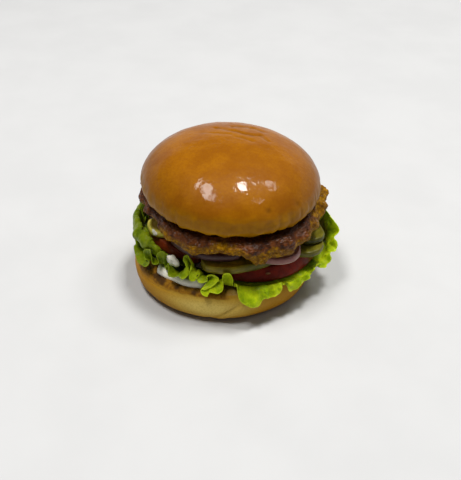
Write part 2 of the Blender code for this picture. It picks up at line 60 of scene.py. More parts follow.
# slices: centre, outline (half sizes and turn of an ellipse, or circles and straight cuts), mid height at the
# centre, slope, thickness, how much further the lower edge reaches than the upper one, waviness and seed
SLICE_FIELDS = ("c", "outline", "z", "sx", "t", "flare", "wob", "seed")
SLICES = {
    "tomato_right": ((19, -4), ([(17, -5, 38)], [(-1, 0, 11)]), 26.4, -0.01, 7.2, 2.0, 0.6, 3),
    "tomato_left": ((-28, 2), ([(-8.6, 2.0, 37)], [(1, 0, -12.4)]), 32.0, -0.09, 6.2, 0.5, 0.6, 5),
    "tomato_back": ((18, 26), ([(12, 10.5, 37)], [(-1, 0, 11), (0, -1, -9)]), 33.5, 0.0, 4.2, 0.5, 0.6, 4),
    "pickle_front": ((8.5, -36.4), (22, 9.8, 15), 33.1, -0.02, 4.6, 0.4, 0.5, 8),
    "pickle_right": ((42.5, -17), (16.5, 12.5, -35), 32.4, -0.01, 4.0, 0.0, 0.5, 11),
    "pickle_right_top": ((49.5, -13), (9.2, 11.8, 10), 36.8, 0.0, 3.8, 0.0, 0.3, 17),
    "pickle_left": ((-36.4, -11.5), (8.2, 9.0, 20), 38.6, -0.1, 4.0, 0.0, 0.3, 12),
    "pickle_back": ((28, 29), (17, 10.5, -25), 37.5, 0.0, 3.6, 0.2, 0.5, 9),
    "onion_right": ((29, -29.6), (15.2, 14.9, 0), 37.3, -0.02, 4.2, 0.3, 0.2, 13),
    "onion_left": ((-9, -17), ([(-2.0, -9.7, 33.2)], [(1, 0, 12.0), (-0.82, 0.57, 14.0), (0, 1, 8.0)]),
                   38.5, -0.03, 4.5, 0.3, 0.2, 14),
    "onion_back": ((-8, 27), (16.5, 16, 0), 38.4, -0.02, 4.4, 0.2, 0.2, 15),
}
SLICES = {name: dict(zip(SLICE_FIELDS, row)) for name, row in SLICES.items()}

# lettuce: free edges as (azimuth in degrees, radius, height), from left to right. mid holds (azimuth, radius,
# height) that the blade heads for before its edge, then the radius of the shoulder where it leaves the stack.
# root is the hidden inner end: radius, height, height of the shoulder. cols are the CAD leaf's own columns.
LEAVES = {
    "lettuce_left_low": dict(root=(34.0, 23.0, 22.9), cols=96, mid=[
        (-88, 53, 25, 46), (-70, 53, 26, 46), (-58, 51, 26, 46), (-50, 49, 27, 45), (-45, 45, 24, 43),
        (-38, 47, 25, 43), (-33, 47, 25, 43), (-30, 46, 31, 43), (-27, 45.6, 41, 43), (-22, 46, 42, 43),
        (-18, 46, 38, 43), (-14, 47, 33, 44), (-8, 48, 31, 45), (6, 49, 30, 46),
    ], edge=[
        (-88, 53.5, 28), (-83, 54.8, 31), (-78.5, 53.8, 26.5), (-74, 55.6, 27), (-69, 55.8, 23.2),
        (-65, 56, 22.4), (-59.5, 55.6, 23.2), (-55, 55, 24.4), (-54.4, 53.2, 27.4), (-59, 53, 27.6),
        (-62, 53.2, 30.6), (-59.6, 52, 33.4), (-55.6, 51.4, 34.4), (-53, 51.8, 31), (-51, 52.8, 27.8),
        (-48, 52, 28.2), (-47.6, 50.6, 30.2), (-50, 50.4, 31.6), (-49.6, 49.4, 35), (-46.8, 48.2, 36.6),
        (-44.8, 47.6, 35.6), (-46.4, 47.4, 31), (-47.2, 47.6, 27.2), (-45.6, 47.4, 25), (-42.6, 48.8, 25.6),
        (-42.2, 49.2, 28.8), (-39.8, 48.6, 31.4), (-38.6, 50.2, 28.8), (-36.6, 52.6, 26), (-32.4, 53.2, 27),
        (-29, 52.8, 29), (-26, 53.6, 28), (-23.4, 52.8, 29.4), (-22.6, 50.6, 31.6), (-25.6, 49.4, 35),
        (-28.4, 47.6, 38), (-26.6, 46.8, 40.4), (-23.6, 47.6, 38.6), (-21.4, 49.2, 34.6),
        (-22.2, 51.4, 30.6), (-20.6, 52.8, 27.8), (-18, 52.4, 28.2), (-17.2, 50.4, 31.2),
        (-15.6, 50.2, 31.0), (-17, 51.6, 28.4), (-13.4, 52, 27.2), (-10.6, 51, 28), (-11, 50, 30.4),
        (-6.5, 49.8, 31.8), (-3.2, 50.4, 30), (-5, 52, 27.4), (-10.5, 54, 24.8), (-13.6, 54.4, 24),
        (-13, 55.2, 22), (-9.9, 55.8, 21), (-8.4, 54.6, 23.4), (-4, 54.6, 22.8), (-0.6, 53.6, 24.6),
        (-0.8, 51.4, 29), (-0.2, 50.4, 33.2), (3.6, 50.4, 33.8), (5.6, 51.2, 30.4), (5.4, 53, 27),
    ]),
    "lettuce_left_up": dict(root=(35.0, 25.4, 25.6), cols=46, mid=[
        (-126, 59, 27, 45), (-105, 63, 29, 46), (-88, 66, 32, 46), (-72, 65, 32, 46), (-62, 60, 31, 45),
        (-54, 54, 31, 43.5), (-48, 47, 31, 42), (-40, 43, 29, 41), (-31, 43, 28, 41),
    ], edge=[
        (-126, 52, 31), (-120, 54.5, 35), (-114, 51.5, 37), (-108, 52.5, 40), (-102, 49.5, 41.6),
        (-97, 50.5, 44), (-92, 47.6, 44.6), (-88, 46.6, 46), (-84, 45.4, 45.2), (-80, 45.6, 46.4),
        (-76, 44.8, 45.4), (-72, 46.8, 46), (-69, 46.2, 44), (-66, 47.6, 43), (-63, 46, 41.4),
        (-60, 46.8, 41.4), (-57, 45, 39.4), (-54, 45.8, 39.4), (-51, 44, 37.8), (-48, 44, 37.8),
        (-45, 42.6, 36.6), (-42, 43.6, 36.2), (-38.5, 43, 34.4), (-35, 43.8, 33.6), (-32, 43.4, 32),
    ]),
    "lettuce_right": dict(root=(34.0, 21.1, 21.1), cols=74, mid=[
        (7, 54, 30, 46), (14, 56, 31, 49), (30, 57, 31, 51), (45, 59, 29, 54), (55, 60, 26, 56),
        (64, 61, 23, 57), (75, 62, 22, 57), (88, 62, 23, 57), (104, 61, 26, 56),
    ], edge=[
        (7.8, 54, 29), (8.0, 57, 23), (9.5, 58, 19), (12, 58.8, 17), (15.5, 59.5, 15.5), (19, 59.5, 14.8),
        (21.6, 58.2, 18), (24, 60, 19.6), (26.5, 58.6, 18), (29, 60, 19.2), (31.5, 59, 19.4), (34, 58.6, 22),
        (36, 56.8, 25.4), (37.4, 58.8, 22), (38.6, 60, 18.4), (41.2, 59.6, 17), (44.5, 60.2, 17.4),
        (47, 61.4, 20), (50, 60, 19), (52.4, 62, 21), (55, 61, 20.4), (57.5, 62.4, 24), (60, 61, 23.4),
        (62.6, 63.6, 25), (64.6, 62.6, 20.6), (67, 65, 19), (69.4, 65.4, 19.6), (71.4, 67.4, 22),
        (73.4, 66, 26), (75.8, 68.4, 24.8), (78, 69.4, 29), (79.6, 66.4, 32), (81.6, 68, 33.5),
        (83.8, 69.2, 35.5), (86, 66.4, 38.5), (89.4, 62.8, 39.5), (92.6, 64.8, 37), (96, 61.8, 40),
        (100, 64, 38), (104, 61, 34),
    ]),
    "lettuce_back": dict(root=(34.0, 21.1, 21.1), cols=58, mid=[
        (108, 60, 28, 57), (130, 57, 32, 51), (145, 56, 33, 50), (160, 56, 34, 48), (190, 56, 34, 48),
        (215, 56, 32, 48), (229, 57, 29, 47),
    ], edge=[
        (108, 61.6, 31), (113, 63.6, 26.5), (118, 60.8, 29.5), (124, 61.8, 22), (130, 58.8, 25.5),
        (136, 60.6, 19), (142.5, 58.4, 24.5), (148, 58.2, 28.6), (153.5, 60.4, 21), (160, 60, 17.6),
        (166, 57.4, 23.5), (171.5, 57.6, 29.4), (177, 60.2, 22.4), (183.5, 60.2, 18.2), (190, 57.8, 24.4),
        (195.5, 58.8, 19.8), (201.5, 58.6, 18.4), (207.5, 56.8, 27), (213, 58.4, 29), (219, 59.2, 23),
        (224.5, 57, 25.5), (229, 57, 28),
    ]),
}

# patty: height of the lower rim by azimuth about its own centre, and how far the rim stands out
PATTY_LOW = [
    (-180, 46.5), (-150, 44.5), (-120, 46.5), (-95, 49.5), (-66, 50.0), (-58, 48.4), (-53, 46.0),
    (-49, 46.8), (-45, 48.4), (-42, 47.4), (-38, 46.4), (-33, 46.0), (-29, 45.0), (-26, 44.5), (-21, 45.6),
    (-18, 46.0), (-12, 47.2), (-8, 49.0), (-2, 48.0), (4, 47.4), (7.5, 44.2), (13, 40.9), (17, 41.2),
    (22, 42.6), (29, 42.3), (35, 40.6), (41, 42.6), (53, 41.8), (57, 44.6), (70, 44.5), (90, 45.5),
    (115, 43.0), (140, 45.5), (165, 43.5), (180, 46.5),
]
PATTY_OUT = [
    (-180, 0.0), (-150, 1.5), (-120, -0.5), (-95, 0.8), (-75, -1.5), (-62, -3.6), (-52, -1.4), (-40, 0.4),
    (-28, 0.8), (-16, -0.2), (-7, -1.6), (0, -0.4), (6, 0.2), (12, 1.4), (20, 0.6), (27, -0.4), (35, 1.0),
    (42, -1.0), (50, -0.6), (60, -1.4), (74, -3.4), (88, -0.4), (100, 1.0), (120, 0.0), (140, 1.2),
    (160, -0.8), (180, 0.0),
]

# ---------------- small helpers
def smooth(x):
    x = np.clip(x, 0.0, 1.0)
    return x * x * (3 - 2 * x)


def ramp(x, start, width):
    """Climbs smoothly from 0 at start to 1 over the width. With a negative width it falls to 0 at start."""
    return smooth((x - start) / width)


def bell(x, centre, width):
    return np.exp(-(((x - centre) / width) ** 2))


def wrap(az):
    """Azimuth in degrees, from -180 to 180."""
    return (np.asarray(az, float) + 180.0) % 360.0 - 180.0


def table(az, rows):
    """Smooth interpolation of (azimuth, value) rows."""
    xs, ys = np.array(rows, float).T
    i = np.clip(np.searchsorted(xs, az, side="right") - 1, 0, len(xs) - 2)
    f = smooth((az - xs[i]) / (xs[i + 1] - xs[i]))
    return ys[i] * (1 - f) + ys[i + 1] * f


def waves(p, size, seed, count=14):
    """Smooth random relief, about -1 to 1, whose bumps are roughly size mm across."""
    rng = np.random.default_rng(seed)
    d = rng.normal(size=(count, 3))
    d /= np.linalg.norm(d, axis=1)[:, None]
    k = 2 * math.pi / (size * rng.uniform(1.3, 2.6, count))
    return np.sin(p @ (d * k[:, None]).T + rng.uniform(0, 2 * math.pi, count)).sum(-1) / math.sqrt(count)


def spline(points, u):
    """Catmull-Rom curve through the points, u from 0 to 1."""
    p = np.array(points, float)
    p = np.vstack([2 * p[0] - p[1], p, 2 * p[-1] - p[-2]])
    n = len(p) - 3
    s = np.clip(np.asarray(u, float), 0, 1) * n
    i = np.minimum(s.astype(int), n - 1)
    f = (s - i)[:, None]
    a, b, c, d = p[i], p[i + 1], p[i + 2], p[i + 3]
    return 0.5 * (2 * b + (c - a) * f + (2 * a - 5 * b + 4 * c - d) * f**2 + (3 * b - a - 3 * c + d) * f**3)


def polar(az, r, z):
    a = np.radians(az)
    return np.stack([r * np.sin(a), -r * np.cos(a), z + 0 * a], -1)


# ---------------- shapes, all as functions
def heel_top(az, r):
    sag = HEEL_DROP * bell(wrap(az), -66, 30) + 0.5 * bell(wrap(az), 130, 40)
    return HEEL_H - sag * ramp(r, 45.0, 8.0)


HEEL_RINGS = [
    (0.4, 0.0), (0.7, 0.0), (FOOT_R / HEEL_R, 0.0), (0.905, 1.1), (0.962, 3.4), (0.992, 6.6), (1.0, 10.0),
    (0.996, 13.4), (0.984, 16.4), (0.968, 18.8), (0.945, 20.0), (0.9, 20.3), (0.7, 20.3), (0.35, 20.3),
]


def fold_height(az):
    """Height of the fold in the heel's crust, which climbs to the right."""
    return 5.5 + 0.62 * (wrap(az) + 4.0)


def heel_ring(az, k, h):
    """One ring of the heel: k is its share of the radius and h its height before the sag."""
    r = k * HEEL_R * np.ones_like(az)
    lift = ramp(h, 3.0, 10.0)
    z = h + (heel_top(az, np.maximum(r, 0)) - HEEL_H) * ramp(h, 10.0, 8.0)
    p = polar(az, r, z)
    r = r * (1 + 0.006 * lift * waves(p * [1, 1, 0.4], 30, 21)) + 0.25 * waves(p, 16, 22) * smooth(h / 4)
    # the fold at the front: a shallow valley over a soft swell
    line = fold_height(az)
    near = bell(wrap(az), 3.0, 10.0) * smooth(h / 3) * ramp(h, 19, -4)
    r = r - 1.0 * near * bell(h, line, 1.5) + 0.6 * near * bell(h, line - 3.5, 2.6)
    return polar(az, r, z)


def turn(p):
    """Leans the crown about its own centre."""
    cx, sx = math.cos(math.radians(CROWN_TILT_X)), math.sin(math.radians(CROWN_TILT_X))
    cy, sy = math.cos(math.radians(CROWN_TILT_Y)), math.sin(math.radians(CROWN_TILT_Y))
    m = np.array([[cy, 0, sy], [0, 1, 0], [-sy, 0, cy]]) @ np.array([[1, 0, 0], [0, cx, -sx], [0, sx, cx]])
    return p @ m.T + np.array(CROWN_C)


def crown_under(x, y):
    """Height of the crown's flat underside above the point x, y."""
    q = turn(np.array([[0, 0, -CROWN_DEPTH], [1, 0, -CROWN_DEPTH], [0, 1, -CROWN_DEPTH]]))
    n = np.cross(q[1] - q[0], q[2] - q[0])
    return q[0, 2] - ((x - q[0, 0]) * n[0] + (y - q[0, 1]) * n[1]) / n[2]


def lobes(az):
    """The uneven, scalloped lower edge of the crown, about -1 to 1."""
    a = np.radians(az)
    return (0.55 * np.sin(23 * a + 1.1 * np.sin(3 * a)) + 0.5 * np.sin(14 * a + 1.0 + 0.8 * np.sin(5 * a))
            + 0.3 * np.sin(37 * a + 2.0))


def crown_ring(az, s):
    """One ring of the crown, s from 0 at the top to 1 at the middle of the underside."""
    inner = CROWN_R - LIP_R
    if s <= DOME_END:
        f = s / DOME_END * math.pi / 2
        r, z = CROWN_R * math.sin(f), CROWN_RISE * math.cos(f)
    elif s <= LIP_END:
        f = (s - DOME_END) / (LIP_END - DOME_END) * math.pi / 2
        r, z = inner + LIP_R * math.cos(f), -CROWN_DEPTH * math.sin(f)
    else:
        r, z = inner * (1 - (s - LIP_END) / (1 - LIP_END)), -CROWN_DEPTH
    edge = bell(s, 0.77, 0.06)
    rr = r + (0.55 * lobes(az + 3) * edge + 0.5 * waves(polar(az, 50.0, 0.0), 70, 31) * min(s, 0.3))
    zz = z + 0.75 * lobes(az) * edge * (s < 0.83)
    return turn(polar(az, rr, zz))


def patty_ring(az, s):
    """One ring of the patty about its own centre, s from 0 (top) to 1 (bottom)."""
    low = table(wrap(az), PATTY_LOW) - 0.8
    inner = PATTY_R + table(wrap(az), PATTY_OUT) - PATTY_BEND
    a = np.radians(az)
    cx, cy = PATTY_C
    if s < PATTY_TOP:
        r, f = inner * s / PATTY_TOP, 0.0
    elif s <= PATTY_WALL:
        f = (s - PATTY_TOP) / (PATTY_WALL - PATTY_TOP)
        r = inner + PATTY_BEND * np.sin(math.pi * f) ** 0.85
    else:
        r, f = inner * (1 - (s - PATTY_WALL) / (1 - PATTY_WALL)), 1.0
    x, y = cx + r * np.sin(a), cy - r * np.cos(a)
    top = crown_under(x, y) - GAP - 0.5 - 1.2 * ramp(r, 46.0, 6.0)
    hold = ramp(r, 34.0, 14.0)
    under = (PATTY_FLOOR - 0.04 * x) * (1 - hold) + low * hold
    down = 0.5 - 0.5 * math.cos(math.pi * f)
    z = top * (1 - down) + under * down
    p = np.stack([x, y, z], -1)
    # crags stand out on the rim and fade where the patty is pressed between its neighbours
    rim = math.sin(math.pi * f) ** 0.7 if 0 < f < 1 else 0.0
    crag = 1.1 * waves(p, 7.5, 41) + 0.6 * waves(p, 4.0, 42)
    x, y = x + rim * crag * np.sin(a), y - rim * crag * np.cos(a)
    z = z + rim * 0.7 * waves(p, 6.0, 43)
    if f == 0.0:
        z = z - 0.35 * (1 + waves(p, 9.0, 44)).clip(0, 2)
    return np.stack([x, y, z], -1)


def sauce_radius(az):
    az = wrap(az)
    shown = ramp(az, -60.5, 8) * ramp(az, -9, -7)
    return 31.0 + 0.6 * np.sin(np.radians(7 * az)) + 0.5 * np.sin(np.radians(13 * az + 40)) + 18.4 * shown


def dab_ring(az, f):
    """The blob of sauce squeezed out between the left leaves, f from 0 at its top to 1 at its bottom."""
    a, turn_by = np.radians(az), math.radians(DAB["az"])
    k = math.sin(math.pi * f)
    side, out, up = DAB["size"]
    t, o = side * k * np.sin(a), out * k * np.cos(a)
    t = t * (1 - 0.28 * math.cos(math.pi * f)) * (1 + 0.1 * np.sin(3 * a + 1))
    r = DAB["r"] + o
    x = r * math.sin(turn_by) + t * math.cos(turn_by)
    y = -r * math.cos(turn_by) + t * math.sin(turn_by)
    return np.stack([x, y, DAB["z"] + up * math.cos(math.pi * f) + 0.1 * t], -1)


def slice_radius(az, d):
    """Outline of a slice about its centre: an ellipse, or the soft meeting of circles and straight cuts."""
    a = np.radians(az)
    ux, uy = np.sin(a), -np.cos(a)
    if len(d["outline"]) == 3:
        p, q, turned = d["outline"]
        t = math.radians(turned)
        x, y = ux * math.cos(t) + uy * math.sin(t), -ux * math.sin(t) + uy * math.cos(t)
        r = ((np.abs(x) / p) ** 2.4 + (np.abs(y) / q) ** 2.4) ** (-1 / 2.4)
    else:
        cx, cy = d["c"]
        circles, cuts = d["outline"]
        limits = []
        for ox, oy, rad in circles:
            b = (cx - ox) * ux + (cy - oy) * uy
            c = (cx - ox) ** 2 + (cy - oy) ** 2 - rad**2
            limits.append(-b + np.sqrt(b * b - c))
        for nx, ny, off in cuts:
            along = nx * ux + ny * uy
            room = off - nx * cx - ny * cy
            limits.append(np.where(along > 0.02, room / np.maximum(along, 0.02), 1e3))
        r = sum(limit**-9.0 for limit in limits) ** (-1 / 9.0)
    return r + d["wob"] * (0.6 * np.sin(3 * a + d["seed"]) + 0.4 * np.sin(5 * a + 2 * d["seed"]))


def slice_ring(az, s, d):
    """One ring of a slice, s from 0 (middle of the top) to 1 (middle of the bottom), with a rounded rim."""
    edge, half = slice_radius(az, d), d["t"] / 2
    bend = min(1.6, half)
    f = min(max((s - 0.4) / 0.2, 0.0), 1.0)
    edge = edge - d["flare"] * math.cos(math.pi * f)
    if s <= 0.4:
        r = (edge - bend) * s / 0.4
    elif s < 0.6:
        r = edge - bend + bend * math.sin(math.pi * f) ** 0.6
    else:
        r = (edge - bend) * (1 - s) / 0.4
    up = half * math.cos(math.pi * f)
    a = np.radians(az)
    x, y = r * np.sin(a), -r * np.cos(a)
    return np.stack([d["c"][0] + x, d["c"][1] + y, d["z"] + d["sx"] * x + up], -1)


def press(p):
    """Keeps a leaf's middle surface under the tomato slices, and clear of their rims."""
    p = p.copy()
    for name in ("tomato_right", "tomato_left"):
        d = SLICES[name]
        x, y = p[..., 0] - d["c"][0], p[..., 1] - d["c"][1]
        beyond = np.hypot(x, y) - slice_radius(np.degrees(np.arctan2(x, -y)), d) - d["flare"]
        limit = d["z"] + d["sx"] * x - d["t"] / 2 - GAP - LEAF_T / 2
        limit = limit - 0.3 + 0.8 * np.maximum(beyond - 2.8, 0) + 50 * np.maximum(beyond - 5, 0)
        p[..., 2] = np.minimum(p[..., 2], limit)
    return p


# ---------------- relief
def hashed(cell, seed):
    """A whole number from 0 to 4095 for every integer cell."""
    h = np.full(cell.shape[:-1], seed * 7919 + 101, np.int64)
    for k, prime in zip(range(cell.shape[-1]), (73856093, 19349663, 83492791)):
        h ^= cell[..., k] * prime
    h = (h ^ (h >> 15)) * 2654435761
    return ((h >> 9) ^ (h >> 21)) & 4095


TABLE = np.random.default_rng(7).normal(size=(4096, 3))
TABLE /= np.linalg.norm(TABLE, axis=1)[:, None]
JITTER = np.random.default_rng(8).random((4096, 3))


def noise(p, size, seed=0):
    """Gradient noise, about -1 to 1, whose bumps are about size mm across."""
    q = np.asarray(p, float) / size + 31.7
    cell = np.floor(q).astype(np.int64)
    f = q - cell
    w = f**3 * (f * (f * 6 - 15) + 10)
    total = np.zeros(q.shape[:-1])
    for corner in itertools.product((0, 1), repeat=3):
        c = np.array(corner)
        slope = (TABLE[hashed(cell + c, seed)] * (f - c)).sum(-1)
        total += slope * np.where(c, w, 1 - w).prod(-1)
    return 1.7 * total


def cells(q, seed=0):
    """Distances to the nearest and second nearest of points strewn one to a cell, for 2-D or 3-D q."""
    cell = np.floor(q).astype(np.int64)
    first = np.full(q.shape[:-1], 9.0)
    second = first.copy()
    for step in itertools.product((-1, 0, 1), repeat=q.shape[-1]):
        near = cell + np.array(step)
        spot = near + 0.5 + 0.8 * (JITTER[hashed(near, seed), :q.shape[-1]] - 0.5)
        d = np.linalg.norm(spot - q, axis=-1)
        second = np.minimum(second, np.maximum(first, d))
        first = np.minimum(first, d)
    return first, second


def grain(p, size, seed=0):
    """Rounded lumps, 1 in the middle of each and 0 in the creases between them."""
    first, second = cells(np.asarray(p, float) / size, seed)
    return smooth((second - first) / 0.55)


def normals(grid, closed):
    """Unit normals of a (rows, columns, 3) grid, whose columns may run round and meet."""
    down = np.gradient(grid, axis=0)
    if closed:
        across = np.roll(grid, -1, 1) - np.roll(grid, 1, 1)
    else:
        across = np.gradient(grid, axis=1)
    n = np.cross(down, across)
    return n / np.maximum(np.linalg.norm(n, axis=-1), 1e-9)[..., None]


def raised(grid, relief):
    """A closed grid pushed out along its normals by its relief."""
    return grid + normals(grid, True) * relief[..., None]


def sheet_normals(grid):
    """Unit normals of an open (columns, rows, 3) grid."""
    return normals(grid.transpose(1, 0, 2), False).transpose(1, 0, 2)


# ---------------- meshes
COLUMNS = dict(crown=420, heel=420, patty=600, slice=180, sauce=360, dab=110, drop=48)  # points in each ring
HEEL_ROWS = 118


def around(n):
    return np.arange(n) * 360.0 / n


def runs(*parts):
    """Steps in even runs, each (first, last, count)."""
    return np.concatenate([np.linspace(*part) for part in parts])


def rings(ring, columns, steps):
    """The grid of ring(azimuths, step) for every step, and the step and azimuth of its points."""
    az = around(columns)
    grid = np.stack([ring(az, step) for step in steps])
    a, s = np.meshgrid(az, steps)
    return grid, s, a


def add_object(name, data):
    obj = bpy.data.objects.new(name, data)
    bpy.context.scene.collection.objects.link(obj)
    return obj


def make_piece(name, verts, faces, material, cad, masks):
    """A smooth mesh that rides on the burger and stands for its CAD nodes. masks are float attributes."""
    mesh = bpy.data.meshes.new(name)
    mesh.from_pydata((verts * MM).tolist(), [], faces)
    for key, values in masks.items():
        layer = mesh.attributes.new(key, "FLOAT", "POINT")
        layer.data.foreach_set("value", values.astype(np.float32))
    mesh.update()
    mesh.shade_smooth()
    mesh.materials.append(material)
    obj = add_object(name, mesh)
    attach(obj, "root")
    if cad:
        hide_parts(*cad)


def ring_piece(name, grid, material, cad=(), masks=()):
    """A closed body from rings (rows, columns, 3) running from its top pole to its bottom pole."""
    rows, cols = grid.shape[:2]
    verts = np.vstack([grid[0].mean(0)[None], grid.reshape(-1, 3), grid[-1].mean(0)[None]])
    i = np.arange(cols)
    k = (i + 1) % cols
    a = 1 + np.arange(rows - 1)[:, None] * cols
    quads = np.stack([a + i, a + cols + i, a + cols + k, a + k], -1).reshape(-1, 4)
    last = 1 + (rows - 1) * cols
    faces = quads.tolist() + np.stack([0 * i, 1 + i, 1 + k], -1).tolist()
    faces += np.stack([last + i, 0 * i + len(verts) - 1, last + k], -1).tolist()
    full = {}
    for key, value in dict(masks).items():
        value = np.broadcast_to(value, (rows, cols))
        full[key] = np.concatenate([[value[0].mean()], value.ravel(), [value[-1].mean()]])
    make_piece(name, verts, faces, material, cad, full)


def sheet_piece(name, grid, thick, material, cad, masks):
    """A thin closed body about a (columns, rows, 3) sheet. thick is its thickness at every point."""
    nu, nv = grid.shape[:2]
    half = 0.5 * thick[..., None] * sheet_normals(grid)
    verts = np.vstack([(grid + half).reshape(-1, 3), (grid - half).reshape(-1, 3)])
    under = nu * nv
    index = np.arange(under).reshape(nu, nv)
    a = index[:-1, :-1].ravel()
    top = np.stack([a, a + 1, a + nv + 1, a + nv], -1)
    rim = np.concatenate([index[:, 0], index[-1, 1:], index[-2::-1, -1], index[0, -2:0:-1]])
    nxt = np.roll(rim, -1)
    side = np.stack([rim, nxt, under + nxt, under + rim], -1)
    faces = np.vstack([top, under + top[:, ::-1], side])
    full = {key: np.tile(value.ravel(), 2) for key, value in masks.items()}
    make_piece(name, verts, faces.tolist(), material, cad, full)


# ---------------- materials
class Nodes:
    """Short ways to add nodes to a tree."""

    def __init__(self, tree):
        self.tree = tree

    def node(self, kind, inputs=(), **settings):
        made = self.tree.nodes.new("ShaderNode" + kind)
        for key, value in settings.items():
            setattr(made, key, value)
        for key, value in dict(inputs).items():
            socket = made.inputs[key]
            if isinstance(value, bpy.types.NodeSocket):
                self.tree.links.new(value, socket)
            else:
                socket.default_value = (*value, 1) if socket.type == "RGBA" else value
        return made.outputs

    def span(self, value, low, high, to_low=0.0, to_high=1.0, kind="SMOOTHSTEP"):
        """Maps value from low..high to to_low..to_high, held at both ends."""
        return self.node("MapRange", {0: value, 1: low, 2: high, 3: to_low, 4: to_high},
                         interpolation_type=kind)["Result"]

    def math(self, operation, a, b):
        return self.node("Math", {0: a, 1: b}, operation=operation)[0]


class Shader(Nodes):
    """A Principled material and short ways to wire textures into it. Sizes are in millimetres."""

    def __init__(self, name, rough, specular=0.5, coat=0.0, coat_rough=0.1, subsurface=0.0,
                 scatter=(1, 0.5, 0.25), reach=1.0):
        self.material = bpy.data.materials.new(name)
        self.material.use_nodes = True
        self.tree = self.material.node_tree
        self.out = self.tree.nodes["Principled BSDF"].inputs
        self.where = self.node("TexCoord")["Object"]
        for key, value in {"Roughness": rough, "Specular IOR Level": specular, "Coat Weight": coat,
                           "Coat Roughness": coat_rough, "Subsurface Weight": subsurface,
                           "Subsurface Radius": scatter, "Subsurface Scale": reach * MM, "IOR": 1.45,
                           "Coat IOR": 1.4}.items():
            self.out[key].default_value = value

    def mask(self, name):
        return self.node("Attribute", attribute_name=name)["Fac"]

    def stretched(self, sx, sy, sz):
        return self.node("Mapping", {"Vector": self.where, "Scale": (sx, sy, sz)})["Vector"]

    def noise(self, size, detail=3.0, rough=0.55, where=None):
        return self.node("TexNoise", {"Vector": where or self.where, "Scale": 1 / (size * MM),
                                      "Detail": detail, "Roughness": rough})["Fac"]

    def spots(self, size):
        return self.node("TexVoronoi", {"Vector": self.where, "Scale": 1 / (size * MM)})["Distance"]

    def mottle(self, size, detail, a, b, rough=0.55, low=0.35, high=0.65):
        """Patches of the colours a and b by a noise of the given size."""
        return self.mix(self.span(self.noise(size, detail, rough), low, high), a, b)

    def mix(self, share, a, b, blend="MIX"):
        return self.node("Mix", {0: share, 6: a, 7: b}, data_type="RGBA", blend_type=blend)[2]

    def lay(self, share, other, much=1.0, blend="MIX"):
        """Lays another colour over the material's. share is a mask's name or a socket, and much scales it."""
        share = self.mask(share) if isinstance(share, str) else share
        if much != 1.0:
            share = self.math("MULTIPLY", share, much)
        self.colour = self.mix(share, self.colour, other, blend)

    def finish(self, bumps=(), rough=None, coat=None):
        """Wires everything into the shader. A bump is its depth in mm and what its noise is called with."""
        normal = None
        for depth, *spec in bumps:
            inputs = {"Height": self.noise(*spec), "Distance": depth * MM}
            if normal is not None:
                inputs["Normal"] = normal
            normal = self.node("Bump", inputs)["Normal"]
        for key, value in {"Base Color": self.colour, "Roughness": rough, "Coat Weight": coat,
                           "Normal": normal, "Coat Normal": normal}.items():
            if value is not None:
                self.tree.links.new(value, self.out[key])
        return self.material


def crust_material():
    """Glazed, egg-washed crust: orange brown on top, yellower and paler towards its lower edge, with painted
    shade on its sides and in its creases and dents.
    """
    m = Shader("glazed_crust", rough=0.45, specular=0.06, coat=0.4, coat_rough=0.055)
    m.colour = m.mottle(17, 2, (0.296, 0.107, 0.0003), (0.241, 0.079, 0.0002))
    fine = m.span(m.noise(1.6, 4, 0.7), 0.35, 0.65)
    m.lay(fine, (0.198, 0.055, 0.0002), 0.4)
    m.lay("low", m.mottle(5, 3, (0.325, 0.139, 0.0003), (0.285, 0.115, 0.0002)))
    # painted shade: the crust darker on the crown's sides than at its front
    m.lay("flank", (0.62, 0.62, 0.5), 0.7, "MULTIPLY")
    m.lay("pale", (0.46, 0.215, 0.0005))
    # painted shade in the glaze creases, the dents and the folds of the lower edge
    m.lay("dark", (0.118, 0.04, 0.0008))
    m.lay("crumb", m.mottle(1.6, 4, (0.56, 0.34, 0.07), (0.43, 0.235, 0.045), high=0.7))
    freckle = m.span(m.spots(2.9), 0.0, 0.09, 1.0, 0.0)
    m.lay(freckle, (0.395, 0.221, 0.047), 0.4)
    glaze = m.span(m.mask("low"), 0.0, 1.0, 0.4, 0.14)
    return m.finish([(0.022, 0.8, 2, 0.5), (0.12, 2.2, 2)], coat=glaze)


def heel_material():
    """Soft pale heel: golden crust at its base, deepened there by painted shade, pale sides, toasted rim with
    charred spots.
    """
    m = Shader("bun_heel_crust", rough=0.55, specular=0.1, coat_rough=0.25)
    m.colour = m.mottle(9, 3, (0.5, 0.292, 0.022), (0.415, 0.222, 0.011))
    # golden-brown crust on the base and the sides; at the base it also holds painted shade
    m.lay("baked", (0.395, 0.175, 0.003))
    m.lay("pale", (0.7, 0.52, 0.13))
    speck = m.span(m.noise(0.9, 4, 0.7), 0.42, 0.66)
    m.lay(speck, (0.284, 0.142, 0.012), 0.28)
    m.lay("cut", m.mottle(1.3, 5, (0.521, 0.363, 0.126), (0.371, 0.221, 0.055), 0.7))
    m.lay("toast", m.mottle(2.0, 4, (0.332, 0.154, 0.0095), (0.198, 0.083, 0.0063), 0.7))
    m.lay("char", (0.059, 0.026, 0.0071))
    return m.finish([(0.1, 0.7, 4, 0.65), (0.12, 3.0, 3)])


